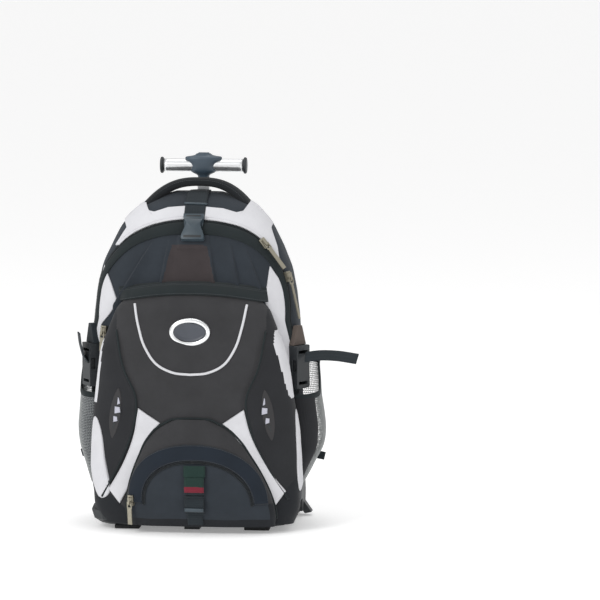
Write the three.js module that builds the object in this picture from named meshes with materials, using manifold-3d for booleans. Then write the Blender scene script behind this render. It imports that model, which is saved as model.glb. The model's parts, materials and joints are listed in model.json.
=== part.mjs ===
// A wheeled backpack with a single-post telescoping handle, in millimetres.
// +Z is up, the front of the bag faces -Y, and it stands on z = 0.
import * as THREE from "three";
import { mergeVertices } from "three/addons/utils/BufferGeometryUtils.js";
import Module from "manifold-3d";

const wasm = await Module();
wasm.setup();

// Cloth body
const BODY_WIDTH = 302;
const BODY_TOP = 478;
const BODY_BOTTOM = 12;
const BODY_FRONT = 62; // front face ahead of the middle line
const BODY_BACK = 66; // back wall behind the middle line
const CLOTH = 2; // thickness of a cloth wall
const SKIN = 1.3; // thickness of a panel laid on a wall
const SEAM = 0.3; // gap between pieces that are sewn or seated together

// Front compartment and lower pocket
const POCKET_SETBACK = 2; // how far its sides lie inside the body's sides
const POCKET_WIDTH = BODY_WIDTH - 2 * POCKET_SETBACK;
const POCKET_TOP = 348;
const POCKET_BOTTOM = 10;
const POCKET_FRONT = 108;
const POCKET_LEAN = 8; // how far the packed pockets hang to the right at the bottom
const LOWER_WIDTH = 214;
const LOWER_TOP = 164;
const LOWER_BOTTOM = 10;
const LOWER_FRONT = 128;
const LOWER_SWAY = 12; // how much further the lower pocket's foot hangs to the right

// Zip arch of the main compartment
const ARCH_SPRING = 300; // height where the arch springs from its straight sides
const ARCH_INSET = 16; // from the body's side to the arch at its springing
const ARCH_HALF = BODY_WIDTH / 2 - ARCH_INSET;
const ARCH_DROP = 44; // from the body's crown down to the arch's
const ARCH_RISE = BODY_TOP - ARCH_DROP - ARCH_SPRING;
const ARCH_SHOULDER = 2.5;
const ZIP_OUTWARD = 4; // half the strip's width at the sides
const ZIP_UPWARD = 11; // half the strip's width at the crown
const ZIP_THICKNESS = 2.2;
const ZIP_END = 150; // height where the strip ends

// Side pockets
const NET_TOP = 240;
const NET_BOTTOM = 62;
const NET_BULGE_RIGHT = 34;
const NET_BULGE_LEFT = 21;
const NET_HALF_DEPTH = 48;
const NET_WALL = 1.6;

// Seams, visor and vents of the front compartment
const SEAM_RIB = 3.5; // width of a raised seam
const RIB_PROUD = 1.8; // how far it stands off the cloth
const HOOD_THICKNESS = 2;
const VENT_WIDTH = 24;
const VENT_LENGTH = 74;
const VENT_TILT = 5; // how far a vent's lower end leans outwards
const VENT_THICKNESS = 2.6;
const VENT_SIDES = 12;

// Webbing and buckles
const TOP_STRAP_WIDTH = 30;
const WEBBING = 1.8; // thickness
const BUCKLE_WIDTH = 36;
const BUCKLE_LENGTH = 40;
const BUCKLE_THICKNESS = 9;
const DAISY_WIDTH = 29;
const DAISY_TOP = 100;
const DAISY_LOOP = 7.4; // how far a loop stands off the pocket
const TAIL_WIDTH = 22;
const TAIL_REACH = 68;
const SIDE_BUCKLE_WIDTH = 30;
const SIDE_BUCKLE_LENGTH = 62;
const SIDE_BUCKLE_THICKNESS = 11;
const BUCKLE_LIFT = 2 * SEAM + SKIN + WEBBING + SEAM; // back of the top buckle, off the body
const BUCKLE_DROP = 47; // from the crown down to the top buckle's middle
const BUCKLE_HEIGHT = BODY_TOP - BUCKLE_DROP;
const STRAP_OVERLAP = 18; // how far the top strap runs under the grab handle
const TAB_DROP = 36; // from the arch's springing down to the corner tab's foot
const TAB_FOOT = ARCH_SPRING - TAB_DROP; // height where a side buckle hangs from its tab
const TAB_HEIGHT = 28;

// Grab handle
const GRAB_SPAN = 150;
const GRAB_RISE = 36;
const GRAB_TOP = 499.5;
const GRAB_THICK = 13;
const GRAB_DEEP = 22;
const GRAB_Y = 26;

// Badge and piping
const BADGE_WIDTH = 59;
const BADGE_HEIGHT = 40;
const BADGE_RIM = 6.5;
const BADGE_UP = 288;
const PIPING_DIAMETER = 3.6;

// Trolley
const POST_Y = 75.5;
const CASE_WIDTH = 25;
const CASE_DEPTH = 17;
const CASE_WALL = 1.6;
const CASE_TOP = 470;
const CASE_BOTTOM = 10;
const STAGE_GAP = 0.4;
const STAGE_WALL = 1.3;
const KNOB_BOTTOM = 496;
const KNOB_HEIGHT = 34;
const KNOB_WIDTH = 54;
const KNOB_DEPTH = 28;
const GRIP_DIAMETER = 19;
const GRIP_SIDES = 14;
const GRIP_LENGTH = 126;
const GRIP_HEIGHT = 17; // grip's axis above the knob's lower end
const CAP_DIAMETER = 24;
const CAP_LENGTH = 4.6;
const BUTTON_WIDTH = 16;
const BUTTON_DEPTH = 12;
const BUTTON_HEIGHT = 5.5;
const BUTTON_STROKE = 2.5;

// Running gear
const WHEEL_DIAMETER = 56;
const WHEEL_WIDTH = 24;
const WHEEL_INSET = 24.5; // from the body's side to the middle of a wheel
const WHEEL_X = BODY_WIDTH / 2 - WHEEL_INSET;
const WHEEL_Y = 100;
const AXLE_DIAMETER = 6;
const WHEEL_SIDES = 14;
const RUNNING_GAP = 0.6;
const HOUSING_WALL = 7;
const HOUSING_TOP = 72;
const HOUSING_FRONT = 36; // how far forward a housing wraps the body's rear corner
const TRAY_BOTTOM = 6;
const TRAY_TOP = 27;
const TRAY_FRONT = 92;
const FOOT_LENGTH = 36;
const FOOT_DEPTH = 22;
const FOOT_INSET = 30; // from the tray's front to a foot's middle
const FOOT_HEIGHT = TRAY_BOTTOM - SEAM;
const SKID_WIDTH = 22;

// Padded back
const PAD_WIDTH = 244;
const PAD_TOP = 440;
const PAD_BOTTOM = 88;
const PAD_BACK = 93;
const STRAP_WIDTH = 60;
const STRAP_WEBBING_WIDTH = 25;
const STRAP_PADDING = 12;

// Far limit of a cutting prism in front of the bag
const AHEAD = -200;

// Finishes
const finishes = {
  charcoal: { color: 0x343a42, roughness: 0.85, metalness: 0 },
  brownCharcoal: { color: 0x424040, roughness: 0.85, metalness: 0 },
  black: { color: 0x23282a, roughness: 0.85, metalness: 0 },
  pale: { color: 0xdededf, roughness: 0.8, metalness: 0 },
  net: { color: 0x828787, roughness: 0.8, metalness: 0 },
  webbing: { color: 0x283036, roughness: 0.8, metalness: 0 },
  buckle: { color: 0x48565c, roughness: 0.45, metalness: 0 },
  plastic: { color: 0x24282a, roughness: 0.5, metalness: 0 },
  knob: { color: 0x3c4852, roughness: 0.45, metalness: 0 },
  silver: { color: 0xe6e8ea, roughness: 0.3, metalness: 0.8 },
  metal: { color: 0xbeb9a5, roughness: 0.35, metalness: 0.9 },
  badge: { color: 0x55585f, roughness: 0.4, metalness: 0.2 },
  rubber: { color: 0x1a1b1c, roughness: 0.8, metalness: 0 },
};

// Solids from geometry, and back
function solid(geometry) {
  const bare = geometry.clone();
  bare.deleteAttribute("normal");
  bare.deleteAttribute("uv");
  const merged = mergeVertices(bare, 1e-4);
  return new wasm.Manifold(
    new wasm.Mesh({
      numProp: 3,
      vertProperties: new Float32Array(merged.attributes.position.array),
      triVerts: new Uint32Array(merged.index.array),
    }),
  );
}

function geometryOf(piece) {
  const mesh = piece.getMesh();
  const position = new Float32Array(mesh.numVert * 3);
  for (let i = 0; i < mesh.numVert; i++)
    position.set(mesh.vertProperties.subarray(i * mesh.numProp, i * mesh.numProp + 3), i * 3);
  const geometry = new THREE.BufferGeometry();
  geometry.setAttribute("position", new THREE.BufferAttribute(position, 3));
  geometry.setIndex(new THREE.BufferAttribute(mesh.triVerts, 1));
  return geometry;
}

const placed = (piece, matrix) => solid(geometryOf(piece).applyMatrix4(matrix));

// The same solid on the other side of the bag, with its faces turned out again
function mirrored(piece) {
  const geometry = geometryOf(piece).applyMatrix4(new THREE.Matrix4().makeScale(-1, 1, 1));
  const index = geometry.index.array;
  for (let i = 0; i < index.length; i += 3) {
    const second = index[i + 1];
    index[i + 1] = index[i + 2];
    index[i + 2] = second;
  }
  return solid(geometry);
}

function box(x0, x1, y0, y1, z0, z1) {
  const geometry = new THREE.BoxGeometry(x1 - x0, y1 - y0, z1 - z0);
  return solid(geometry.translate((x0 + x1) / 2, (y0 + y1) / 2, (z0 + z1) / 2));
}

// A round bar along X
function barX(radius, x0, x1, y, z, sides) {
  const geometry = new THREE.CylinderGeometry(radius, radius, x1 - x0, sides);
  return solid(geometry.rotateZ(Math.PI / 2).translate((x0 + x1) / 2, y, z));
}

// An outline of [x, z] points seen from the front, carried from y0 back to y1
function prism(points, y0, y1) {
  const shape = new THREE.Shape(points.map(([x, z]) => new THREE.Vector2(x, z)));
  const geometry = new THREE.ExtrudeGeometry(shape, { depth: y1 - y0, bevelEnabled: false });
  return solid(geometry.rotateX(Math.PI / 2).translate(0, y1, 0));
}

// An outline of [y, z] points seen from the side, carried from x0 to x1
function profile(points, x0, x1) {
  const shape = new THREE.Shape(points.map(([y, z]) => new THREE.Vector2(y, z)));
  const geometry = new THREE.ExtrudeGeometry(shape, { depth: x1 - x0, bevelEnabled: false });
  const turn = new THREE.Matrix4().set(0, 0, 1, x0, 1, 0, 0, 0, 0, 1, 0, 0, 0, 0, 0, 1);
  return solid(geometry.applyMatrix4(turn));
}

// A smooth open line through a few [x, z] points
function smooth(points, steps) {
  return new THREE.SplineCurve(points.map(([x, z]) => new THREE.Vector2(x, z)))
    .getPoints(steps)
    .map((p) => [p.x, p.y]);
}

// Closes a stack of rings, each a loop of the same number of points, into one solid
function skin(rings) {
  const count = rings[0].length;
  const last = (rings.length - 1) * count;
  const middle = (ring) => [0, 1, 2].map((k) => ring.reduce((sum, p) => sum + p[k], 0) / count);
  const vertices = [...rings.flat(), middle(rings[0]), middle(rings[rings.length - 1])];
  const bottom = rings.length * count;
  const triangles = [];
  for (let i = 0; i < rings.length - 1; i++)
    for (let j = 0; j < count; j++) {
      const a = i * count + j;
      const b = i * count + ((j + 1) % count);
      triangles.push(a, b, b + count, a, b + count, a + count);
    }
  for (let j = 0; j < count; j++) {
    const k = (j + 1) % count;
    triangles.push(bottom, k, j, bottom + 1, last + j, last + k);
  }
  return new wasm.Manifold(
    new wasm.Mesh({
      numProp: 3,
      vertProperties: new Float32Array(vertices.flat()),
      triVerts: new Uint32Array(triangles),
    }),
  );
}

// A loft through level sections. Each section is a rounded rectangle (a superellipse) between
// left, right, front and back; grow moves its whole surface outwards.
const rounded = (value, squareness) => Math.sign(value) * Math.abs(value) ** (2 / squareness);

function loft(sections, squareness, sides, grow) {
  const lastRow = sections.length - 1;
  return skin(
    sections.map((s, i) => {
      const z = s.z + (i === 0 ? -grow : i === lastRow ? grow : 0);
      const half = (s.right - s.left) / 2 + grow;
      const depth = (s.back - s.front) / 2 + grow;
      return Array.from({ length: sides }, (_, j) => {
        const angle = (2 * Math.PI * j) / sides;
        return [
          (s.left + s.right) / 2 + half * rounded(Math.cos(angle), squareness),
          (s.front + s.back) / 2 + depth * rounded(Math.sin(angle), squareness),
          z,
        ];
      });
    }),
  );
}

// A named form: its solid at any distance off its surface, and the depth of its front at [x, z]
function form(sections, squareness, sides) {
  const made = new Map();
  const off = (grow) => {
    if (!made.has(grow)) made.set(grow, loft(sections, squareness, sides, grow));
    return made.get(grow);
  };
  const frontAt = (x, z) => {
    const k = Math.max(1, sections.findIndex((s) => s.z >= z));
    const [low, high] = [sections[k - 1], sections[k]];
    const t = (z - low.z) / (high.z - low.z);
    const between = (key) => low[key] + t * (high[key] - low[key]);
    const half = (between("right") - between("left")) / 2;
    const across = Math.min(1, Math.abs(x - (between("left") + between("right")) / 2) / half);
    const depth = (between("back") - between("front")) / 2;
    const bow = (1 - across ** squareness) ** (1 / squareness);
    return (between("front") + between("back")) / 2 - depth * bow;
  };
  const middle = (sections[1].front + sections[1].back) / 2;
  return { off, frontAt, middle };
}

// Main body. up is a share of the height from the bottom, half of half the width,
// front and back of the two depths; a negative front lies behind the middle line.
const BODY_SECTIONS = [
  { up: 0.0, half: 0.92, front: 0.88, back: 0.96 },
  { up: 0.03, half: 0.975, front: 0.97, back: 1 },
  { up: 0.1, half: 1, front: 1, back: 1 },
  { up: 0.4, half: 1.005, front: 1, back: 1 },
  { up: 0.62, half: 0.98, front: 1, back: 1 },
  { up: 0.704, half: 0.945, front: 0.97, back: 1 },
  { up: 0.779, half: 0.9, front: 0.91, back: 1 },
  { up: 0.833, half: 0.835, front: 0.83, back: 1 },
  { up: 0.876, half: 0.77, front: 0.74, back: 1 },
  { up: 0.912, half: 0.7, front: 0.6, back: 0.985 },
  { up: 0.94, half: 0.62, front: 0.43, back: 0.97 },
  { up: 0.966, half: 0.52, front: 0.2, back: 0.94 },
  { up: 0.985, half: 0.39, front: -0.06, back: 0.88 },
  { up: 1.0, half: 0.23, front: -0.32, back: 0.78 },
].map((row) => ({
  z: BODY_BOTTOM + row.up * (BODY_TOP - BODY_BOTTOM),
  left: (-row.half * BODY_WIDTH) / 2,
  right: (row.half * BODY_WIDTH) / 2,
  front: -row.front * BODY_FRONT,
  back: row.back * BODY_BACK,
}));
const body = form(BODY_SECTIONS, 3, 20);

// Front compartment. half is a share of half its width, front of its depth.
const leanAt = (z) => POCKET_LEAN * Math.max(0, 1 - z / POCKET_TOP);
const swayAt = (z) => leanAt(z) + LOWER_SWAY * Math.max(0, 1 - z / LOWER_TOP);
const POCKET_SECTIONS = [
  { up: 0.0, half: 0.93, front: 0.86 },
  { up: 0.05, half: 0.98, front: 0.94 },
  { up: 0.15, half: 1, front: 0.975 },
  { up: 0.35, half: 1, front: 1 },
  { up: 0.54, half: 0.96, front: 1.01 },
  { up: 0.68, half: 0.905, front: 0.99 },
  { up: 0.79, half: 0.845, front: 0.945 },
  { up: 0.865, half: 0.785, front: 0.885 },
  { up: 0.93, half: 0.7, front: 0.81 },
  { up: 0.97, half: 0.575, front: 0.73 },
  { up: 1.0, half: 0.37, front: 0.64 },
].map((row) => {
  const z = POCKET_BOTTOM + row.up * (POCKET_TOP - POCKET_BOTTOM);
  return {
    z,
    left: leanAt(z) - (row.half * POCKET_WIDTH) / 2,
    right: leanAt(z) + (row.half * POCKET_WIDTH) / 2,
    front: -row.front * POCKET_FRONT,
    back: -0.2 * POCKET_FRONT,
  };
});
const pocket = form(POCKET_SECTIONS, 2.8, 20);

// Lower pocket, on the front compartment
const LOWER_SECTIONS = [
  { up: 0.0, half: 0.97, front: 0.87 },
  { up: 0.12, half: 1.0, front: 0.95 },
  { up: 0.3, half: 0.96, front: 0.99 },
  { up: 0.5, half: 0.86, front: 1.0 },
  { up: 0.66, half: 0.745, front: 0.985 },
  { up: 0.82, half: 0.61, front: 0.96 },
  { up: 0.93, half: 0.45, front: 0.935 },
  { up: 1.0, half: 0.26, front: 0.905 },
].map((row) => {
  const z = LOWER_BOTTOM + row.up * (LOWER_TOP - LOWER_BOTTOM);
  return {
    z,
    left: swayAt(z) - (row.half * LOWER_WIDTH) / 2,
    right: swayAt(z) + (row.half * LOWER_WIDTH) / 2,
    front: -row.front * LOWER_FRONT,
    back: -0.6 * LOWER_FRONT,
  };
});
const lower = form(LOWER_SECTIONS, 2.6, 16);

// Side pockets of net. out is a share of the bulge beyond the body's side.
const NET_SECTIONS = [
  { up: 0.0, out: 0.1 },
  { up: 0.14, out: 0.5 },
  { up: 0.3, out: 0.92 },
  { up: 0.44, out: 1.0 },
  { up: 0.7, out: 0.86 },
  { up: 1.0, out: 0.7 },
];
function netForm(bulge) {
  const root = BODY_WIDTH / 2 - 30;
  return form(
    NET_SECTIONS.map((row) => ({
      z: NET_BOTTOM + row.up * (NET_TOP - NET_BOTTOM),
      left: root - 10,
      right: BODY_WIDTH / 2 + row.out * bulge,
      front: 2 - NET_HALF_DEPTH,
      back: 2 + NET_HALF_DEPTH,
    })),
    2.6,
    12,
  );
}

const group = new THREE.Group();
function add(name, piece, finish) {
  const mesh = new THREE.Mesh(geometryOf(piece), new THREE.MeshStandardMaterial(finishes[finish]));
  mesh.name = name;
  group.add(mesh);
}

// A cloth panel laid on a form: the layer between two distances off it, inside an outline
const layerOn = (on, lift, thickness) => on.off(lift + thickness).subtract(on.off(lift));
const panelOn = (on, outline, lift, thickness) =>
  layerOn(on, lift, thickness).intersect(prism(outline, AHEAD, on.middle));

// Outline points from shares of a form's half width and height, with the pocket's lean
const onBody = ({ across, up }) => [(across * BODY_WIDTH) / 2, up * BODY_TOP];
const onPocket = ({ across, up }) => [
  (across * POCKET_WIDTH) / 2 + leanAt(up * POCKET_TOP),
  up * POCKET_TOP,
];
const flipped = (points) => points.map(([x, z]) => [-x, z]);
const bothSides = (half) => [...half, ...flipped(half.slice(0, -1)).reverse()];
const SIDES = [
  { side: -1, word: "left" },
  { side: 1, word: "right" },
];

// The zip's arch from its springing at the right up to the crown, and its whole outline with
// legs that flare onto the corners of the body
function archLine(widen, raise) {
  const steps = 8;
  return Array.from({ length: steps + 1 }, (_, i) => {
    const angle = (Math.PI / 2) * (i / steps);
    return [
      (ARCH_HALF + widen) * rounded(Math.cos(angle), ARCH_SHOULDER),
      ARCH_SPRING + (ARCH_RISE + raise) * rounded(Math.sin(angle), ARCH_SHOULDER),
    ];
  });
}
function archOutline(widen, raise) {
  const half = BODY_WIDTH / 2;
  return bothSides([
    [0.9 * half + widen, 0],
    [0.96 * half + widen, 0.15 * ARCH_SPRING],
    [0.965 * half + widen, 0.83 * ARCH_SPRING],
    ...archLine(widen, raise),
  ]);
}
const SIDE_LINE = -0.15 * BODY_FRONT; // the zip strip's rear edge on the sides of the body

// Main compartment: a tub open at the front and the door that closes it
function mainCompartment() {
  const shell = body.off(0).subtract(body.off(-CLOTH));
  add("rear_shell", shell.subtract(prism(archOutline(0, 0), AHEAD, SIDE_LINE)), "charcoal");
  let door = shell.intersect(prism(archOutline(-SEAM, -SEAM), AHEAD, SIDE_LINE - SEAM));

  // Pleats of the gathered upper panel, each a row from its narrow top to its wide foot
  const pleats = [
    { topAcross: 0.24, topUp: 0.865, footAcross: 0.33, footUp: 0.745, wide: 7, proud: 2.6 },
    { topAcross: 0.38, topUp: 0.85, footAcross: 0.49, footUp: 0.735, wide: 9, proud: 3 },
    { topAcross: 0.5, topUp: 0.83, footAcross: 0.6, footUp: 0.75, wide: 6, proud: 2.2 },
  ];
  for (const p of pleats)
    for (const { side } of SIDES) {
      const [x0, z0] = onBody({ across: side * p.topAcross, up: p.topUp });
      const [x1, z1] = onBody({ across: side * p.footAcross, up: p.footUp });
      const fold = [[x0, z0], [x1 + p.wide / 2, z1], [x1 - p.wide / 2, z1]];
      door = door.add(panelOn(body, fold, -CLOTH / 2, CLOTH / 2 + p.proud));
    }
  const patch = bothSides([
    [0.4 * BUCKLE_WIDTH, BUCKLE_HEIGHT - 0.66 * BUCKLE_LENGTH],
    [0.52 * BUCKLE_WIDTH, BUCKLE_HEIGHT - 0.58 * BUCKLE_LENGTH],
    [0.52 * BUCKLE_WIDTH, BUCKLE_HEIGHT - 0.28 * BUCKLE_LENGTH],
    [0, BUCKLE_HEIGHT - 0.26 * BUCKLE_LENGTH],
  ]);
  const raised = layerOn(body, -CLOTH / 2, CLOTH / 2 + BUCKLE_LIFT - SEAM);
  door = door.add(raised.intersect(prism(patch, AHEAD, 0)).subtract(zipStrip(SEAM)));
  add("main_door", door, "charcoal");
  add("main_zipper", zipStrip(0), "black");
}

// The zip strip laid over the joint of tub and door, or the room it takes with a clearance
function zipStrip(clearance) {
  const [outward, upward] = [ZIP_OUTWARD + clearance, ZIP_UPWARD + clearance];
  const outer = prism(archOutline(outward, upward), AHEAD, SIDE_LINE + clearance);
  const inner = prism(archOutline(-outward, -upward), AHEAD, 0);
  const above = box(-BODY_WIDTH, BODY_WIDTH, AHEAD, 0, ZIP_END - clearance, 2 * BODY_TOP);
  const layer = layerOn(body, SEAM - clearance, ZIP_THICKNESS + 2 * clearance);
  return layer.intersect(outer).subtract(inner).intersect(above);
}

// Pale panels of the body: the yoke band over its shoulders, and a gore beside the front
function palePanels() {
  const rim = archLine(ZIP_OUTWARD + 1, ZIP_UPWARD + 1).filter(([, z]) => z > 0.79 * BODY_TOP);
  const yokeTop = [
    { across: 0, up: 0.962 },
    { across: 0.28, up: 0.957 },
    { across: 0.44, up: 0.945 },
    { across: 0.5, up: 0.985 },
    { across: 0.78, up: 0.935 },
    { across: 0.86, up: 0.85 },
  ].map(onBody);
  const yoke = [...bothSides(rim), ...flipped(yokeTop).reverse(), ...yokeTop.slice(1)];
  add("yoke_band", layerOn(body, SEAM, SKIN).intersect(prism(yoke, AHEAD, GRAB_Y)), "pale");

  const gore = [
    { across: 0.735, up: 0.795 },
    { across: 0.66, up: 0.685 },
    { across: 0.8, up: 0.573 },
    { across: 0.885, up: 0.48 },
    { across: 0.94, up: 0.39 },
    { across: 0.98, up: 0.53 },
    { across: 0.98, up: 0.795 },
  ].map(onBody);
  const inside = prism(archOutline(-ZIP_OUTWARD - 2 * SEAM, -ZIP_UPWARD - SEAM), AHEAD, 0);
  for (const { side, word } of SIDES) {
    const outline = gore.map(([x, z]) => [side * x, z]);
    const sheet = panelOn(body, outline, SEAM, SKIN).intersect(inside);
    add("gore_" + word, sheet.subtract(pocket.off(SEAM)), "pale");
  }
}

// Front compartment with its raised hourglass seams, and the visor over its mouth
function frontCompartment() {
  let wall = pocket.off(0).subtract(pocket.off(-CLOTH));
  const seam = [
    { across: 0.72, up: 0.83 },
    { across: 0.65, up: 0.68 },
    { across: 0.53, up: 0.55 },
    { across: 0.56, up: 0.44 },
    { across: 0.7, up: 0.29 },
    { across: 0.9, up: 0.14 },
  ];
  for (const { side } of SIDES) {
    const line = smooth(seam.map((p) => onPocket({ across: side * p.across, up: p.up })), 7);
    const ribbon = [...line, ...line.map(([x, z]) => [x + side * SEAM_RIB, z]).reverse()];
    wall = wall.add(panelOn(pocket, ribbon, -CLOTH / 2, CLOTH / 2 + RIB_PROUD));
  }
  add("front_pocket", wall.subtract(body.off(SEAM)).subtract(zipStrip(SEAM)), "brownCharcoal");

  const top = [
    { across: 0, up: 1.03 },
    { across: 0.25, up: 1.02 },
    { across: 0.5, up: 0.99 },
    { across: 0.76, up: 0.93 },
  ];
  const lip = [
    { across: 0, up: 0.965 },
    { across: 0.25, up: 0.958 },
    { across: 0.48, up: 0.94 },
    { across: 0.72, up: 0.88 },
  ];
  const arc = (points) => bothSides(smooth(points.map(onPocket), 6).reverse());
  const outline = [...arc(top), ...arc(lip).reverse()];
  const visor = panelOn(pocket, outline, RIB_PROUD + SEAM, HOOD_THICKNESS);
  add("pocket_hood", visor.subtract(body.off(SEAM + CLOTH + SKIN)), "black");
}

// Pale legs on the front of the compartment and pale stripes on its corners
function pocketPanels() {
  const leg = [
    { across: 0.51, up: 0.51 },
    { across: 0.3, up: 0.455 },
    { across: 0.43, up: 0.39 },
    { across: 0.58, up: 0.25 },
    { across: 0.78, up: 0.115 },
    { across: 0.88, up: 0.17 },
    { across: 0.68, up: 0.305 },
    { across: 0.56, up: 0.42 },
  ];
  const stripe = [
    { across: 0.975, up: 0.51 },
    { across: 0.95, up: 0.47 },
    { across: 0.955, up: 0.36 },
    { across: 0.965, up: 0.24 },
    { across: 0.94, up: 0.17 },
    { across: 1.1, up: 0.2 },
    { across: 1.1, up: 0.5 },
  ];
  const corner = box(-BODY_WIDTH, BODY_WIDTH, AHEAD, -0.62 * POCKET_FRONT, 0, BODY_TOP);
  for (const { side, word } of SIDES) {
    const placedOn = (points) => points.map((p) => onPocket({ ...p, across: side * p.across }));
    const drawn = placedOn(leg).map(([x, z]) => [side < 0 ? x + swayAt(z) - leanAt(z) : x, z]);
    const legPanel = panelOn(pocket, drawn, RIB_PROUD + SEAM, SKIN);
    add("leg_panel_" + word, legPanel.subtract(lower.off(SEAM)), "pale");
    const stripePanel = panelOn(pocket, placedOn(stripe), SEAM, SKIN).intersect(corner);
    add("stripe_" + word, stripePanel.subtract(body.off(SEAM)), "pale");
  }
}

// Lower pocket and the arched flap that covers its zip
function lowerPocket() {
  const wall = lower.off(0).subtract(lower.off(-CLOTH)).subtract(pocket.off(SEAM));
  add("lower_pocket", wall, "charcoal");
  const arch = (half, top, foot) => {
    const line = [];
    const steps = 6;
    for (let i = 0; i <= steps; i++) {
      const angle = (Math.PI / 2) * (i / steps);
      const z = foot + (top - foot) * rounded(Math.sin(angle), 2.2);
      line.push([half * rounded(Math.cos(angle), 2.2) + swayAt(z), z]);
    }
    const back = line.slice(0, -1).map(([x, z]) => [2 * swayAt(z) - x, z]).reverse();
    return [...line, ...back];
  };
  const outer = prism(arch(0.47 * LOWER_WIDTH, 0.79 * LOWER_TOP, 0.25 * LOWER_TOP), AHEAD, 0);
  const inner = prism(arch(0.38 * LOWER_WIDTH, 0.64 * LOWER_TOP, 0.2 * LOWER_TOP), AHEAD, 0);
  const flap = layerOn(lower, SEAM, ZIP_THICKNESS).intersect(outer).subtract(inner);
  add("rain_flap", flap.subtract(pocket.off(SEAM)), "black");
}

// Badge, piping and the two vents
function trims() {
  const badgeY = pocket.frontAt(0, BADGE_UP);
  const oval = (width, height, y0, y1) => {
    const geometry = new THREE.CylinderGeometry(1, 1, y1 - y0, 20);
    geometry.scale(width / 2, 1, height / 2).translate(leanAt(BADGE_UP), (y0 + y1) / 2, BADGE_UP);
    return solid(geometry);
  };
  const field = [BADGE_WIDTH - 2 * BADGE_RIM, BADGE_HEIGHT - 2 * BADGE_RIM];
  const ring = oval(BADGE_WIDTH, BADGE_HEIGHT, badgeY - 4.2, badgeY + 6).subtract(
    oval(...field, badgeY - 5, badgeY + 8),
  );
  add("badge_ring", ring.subtract(pocket.off(SEAM)), "silver");
  const plate = oval(field[0] - 2 * SEAM, field[1] - 2 * SEAM, badgeY - 2.4, badgeY + 6);
  add("badge_plate", plate.subtract(pocket.off(SEAM)), "badge");

  const loop = [
    { across: 0.52, up: 0.905 },
    { across: 0.5, up: 0.85 },
    { across: 0.43, up: 0.76 },
    { across: 0.32, up: 0.695 },
    { across: 0.16, up: 0.662 },
    { across: 0, up: 0.655 },
  ].map(onPocket);
  const route = bothSides(smooth(loop, 10)).map(([x, z]) => {
    const y = pocket.frontAt(x, z) - PIPING_DIAMETER / 4;
    return new THREE.Vector3(x, y, z);
  });
  const section = new THREE.Shape().absarc(0, 0, PIPING_DIAMETER / 2, 0, 2 * Math.PI);
  const cord = new THREE.ExtrudeGeometry(section, {
    steps: 16,
    curveSegments: 3,
    bevelEnabled: false,
    extrudePath: new THREE.CatmullRomCurve3(route),
  });
  add("pocket_piping", solid(cord).subtract(pocket.off(SEAM)), "pale");

  const windows = [
    { up: 0.3, wide: 4, tall: 8 },
    { up: 0.13, wide: 7.5, tall: 8 },
    { up: -0.06, wide: 6.5, tall: 7 },
    { up: -0.24, wide: 4.5, tall: 6 },
  ];
  for (const { side, word } of SIDES) {
    const [x, z] = onPocket({ across: side * 0.735, up: 0.475 });
    const tilt = (t) => x + side * VENT_TILT * t;
    const rim = [];
    for (let i = 0; i < VENT_SIDES; i++) {
      const angle = (2 * Math.PI * i) / VENT_SIDES;
      const t = Math.sin(angle);
      const wide = (VENT_WIDTH / 2) * Math.cos(angle) * Math.abs(Math.cos(angle)) ** 0.4;
      rim.push([tilt(-t) + wide, z + (VENT_LENGTH / 2) * t]);
    }
    let leaf = panelOn(pocket, rim, SEAM, VENT_THICKNESS);
    for (const w of windows) {
      const [cx, cz] = [tilt(-2 * w.up), z + w.up * VENT_LENGTH];
      leaf = leaf.subtract(box(cx - w.wide / 2, cx + w.wide / 2, AHEAD, 0, cz - w.tall / 2, cz + w.tall / 2));
    }
    add("vent_" + word, leaf, "plastic");
  }
}

// Open side pockets, cut off along a slope that rises to the back
function sidePockets() {
  for (const { side, word } of SIDES) {
    const net = netForm(side > 0 ? NET_BULGE_RIGHT : NET_BULGE_LEFT);
    const reach = BODY_WIDTH;
    const mouth = profile(
      [
        [-NET_HALF_DEPTH - 10, NET_TOP - 52],
        [-0.25 * NET_HALF_DEPTH, NET_TOP - 46],
        [0.15 * NET_HALF_DEPTH, NET_TOP - 5],
        [NET_HALF_DEPTH + 20, NET_TOP - 4],
        [NET_HALF_DEPTH + 20, NET_TOP + 20],
        [-NET_HALF_DEPTH - 10, NET_TOP + 20],
      ],
      0,
      reach,
    );
    const hollow = net.off(-NET_WALL);
    let wall = net.off(0).subtract(hollow).subtract(mouth).subtract(body.off(SEAM));
    wall = side > 0 ? wall : mirrored(wall);
    add("mesh_pocket_" + word, wall.subtract(pocket.off(SEAM + SKIN + SEAM)), "net");
  }
}

// A strap carried along a smooth route. Each station has its place, its outward direction,
// its width and its thickness; sides is 4 for webbing and 8 for a padded strap.
function strap(stations, steps, sides) {
  const curve = new THREE.CatmullRomCurve3(stations.map((s) => new THREE.Vector3(...s.at)));
  const between = (key, t) => {
    const k = Math.min(stations.length - 2, Math.floor(t * (stations.length - 1)));
    const f = t * (stations.length - 1) - k;
    const [a, b] = [stations[k][key], stations[k + 1][key]];
    return Array.isArray(a) ? a.map((v, i) => v + f * (b[i] - v)) : a + f * (b - a);
  };
  const rings = Array.from({ length: steps + 1 }, (_, i) => {
    const t = i / steps;
    const middle = curve.getPoint(t);
    const along = curve.getTangent(t);
    const out = new THREE.Vector3(...between("out", t));
    out.addScaledVector(along, -out.dot(along)).normalize();
    const across = new THREE.Vector3().crossVectors(out, along);
    return Array.from({ length: sides }, (_, j) => {
      const angle = (2 * Math.PI * (j + 0.5)) / sides;
      const squareness = sides === 4 ? 1e6 : 3.5;
      const point = middle.clone();
      point.addScaledVector(across, (between("width", t) / 2) * rounded(Math.cos(angle), squareness));
      point.addScaledVector(out, (between("thick", t) / 2) * rounded(Math.sin(angle), squareness));
      return point.toArray();
    });
  });
  return skin(rings);
}

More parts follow.
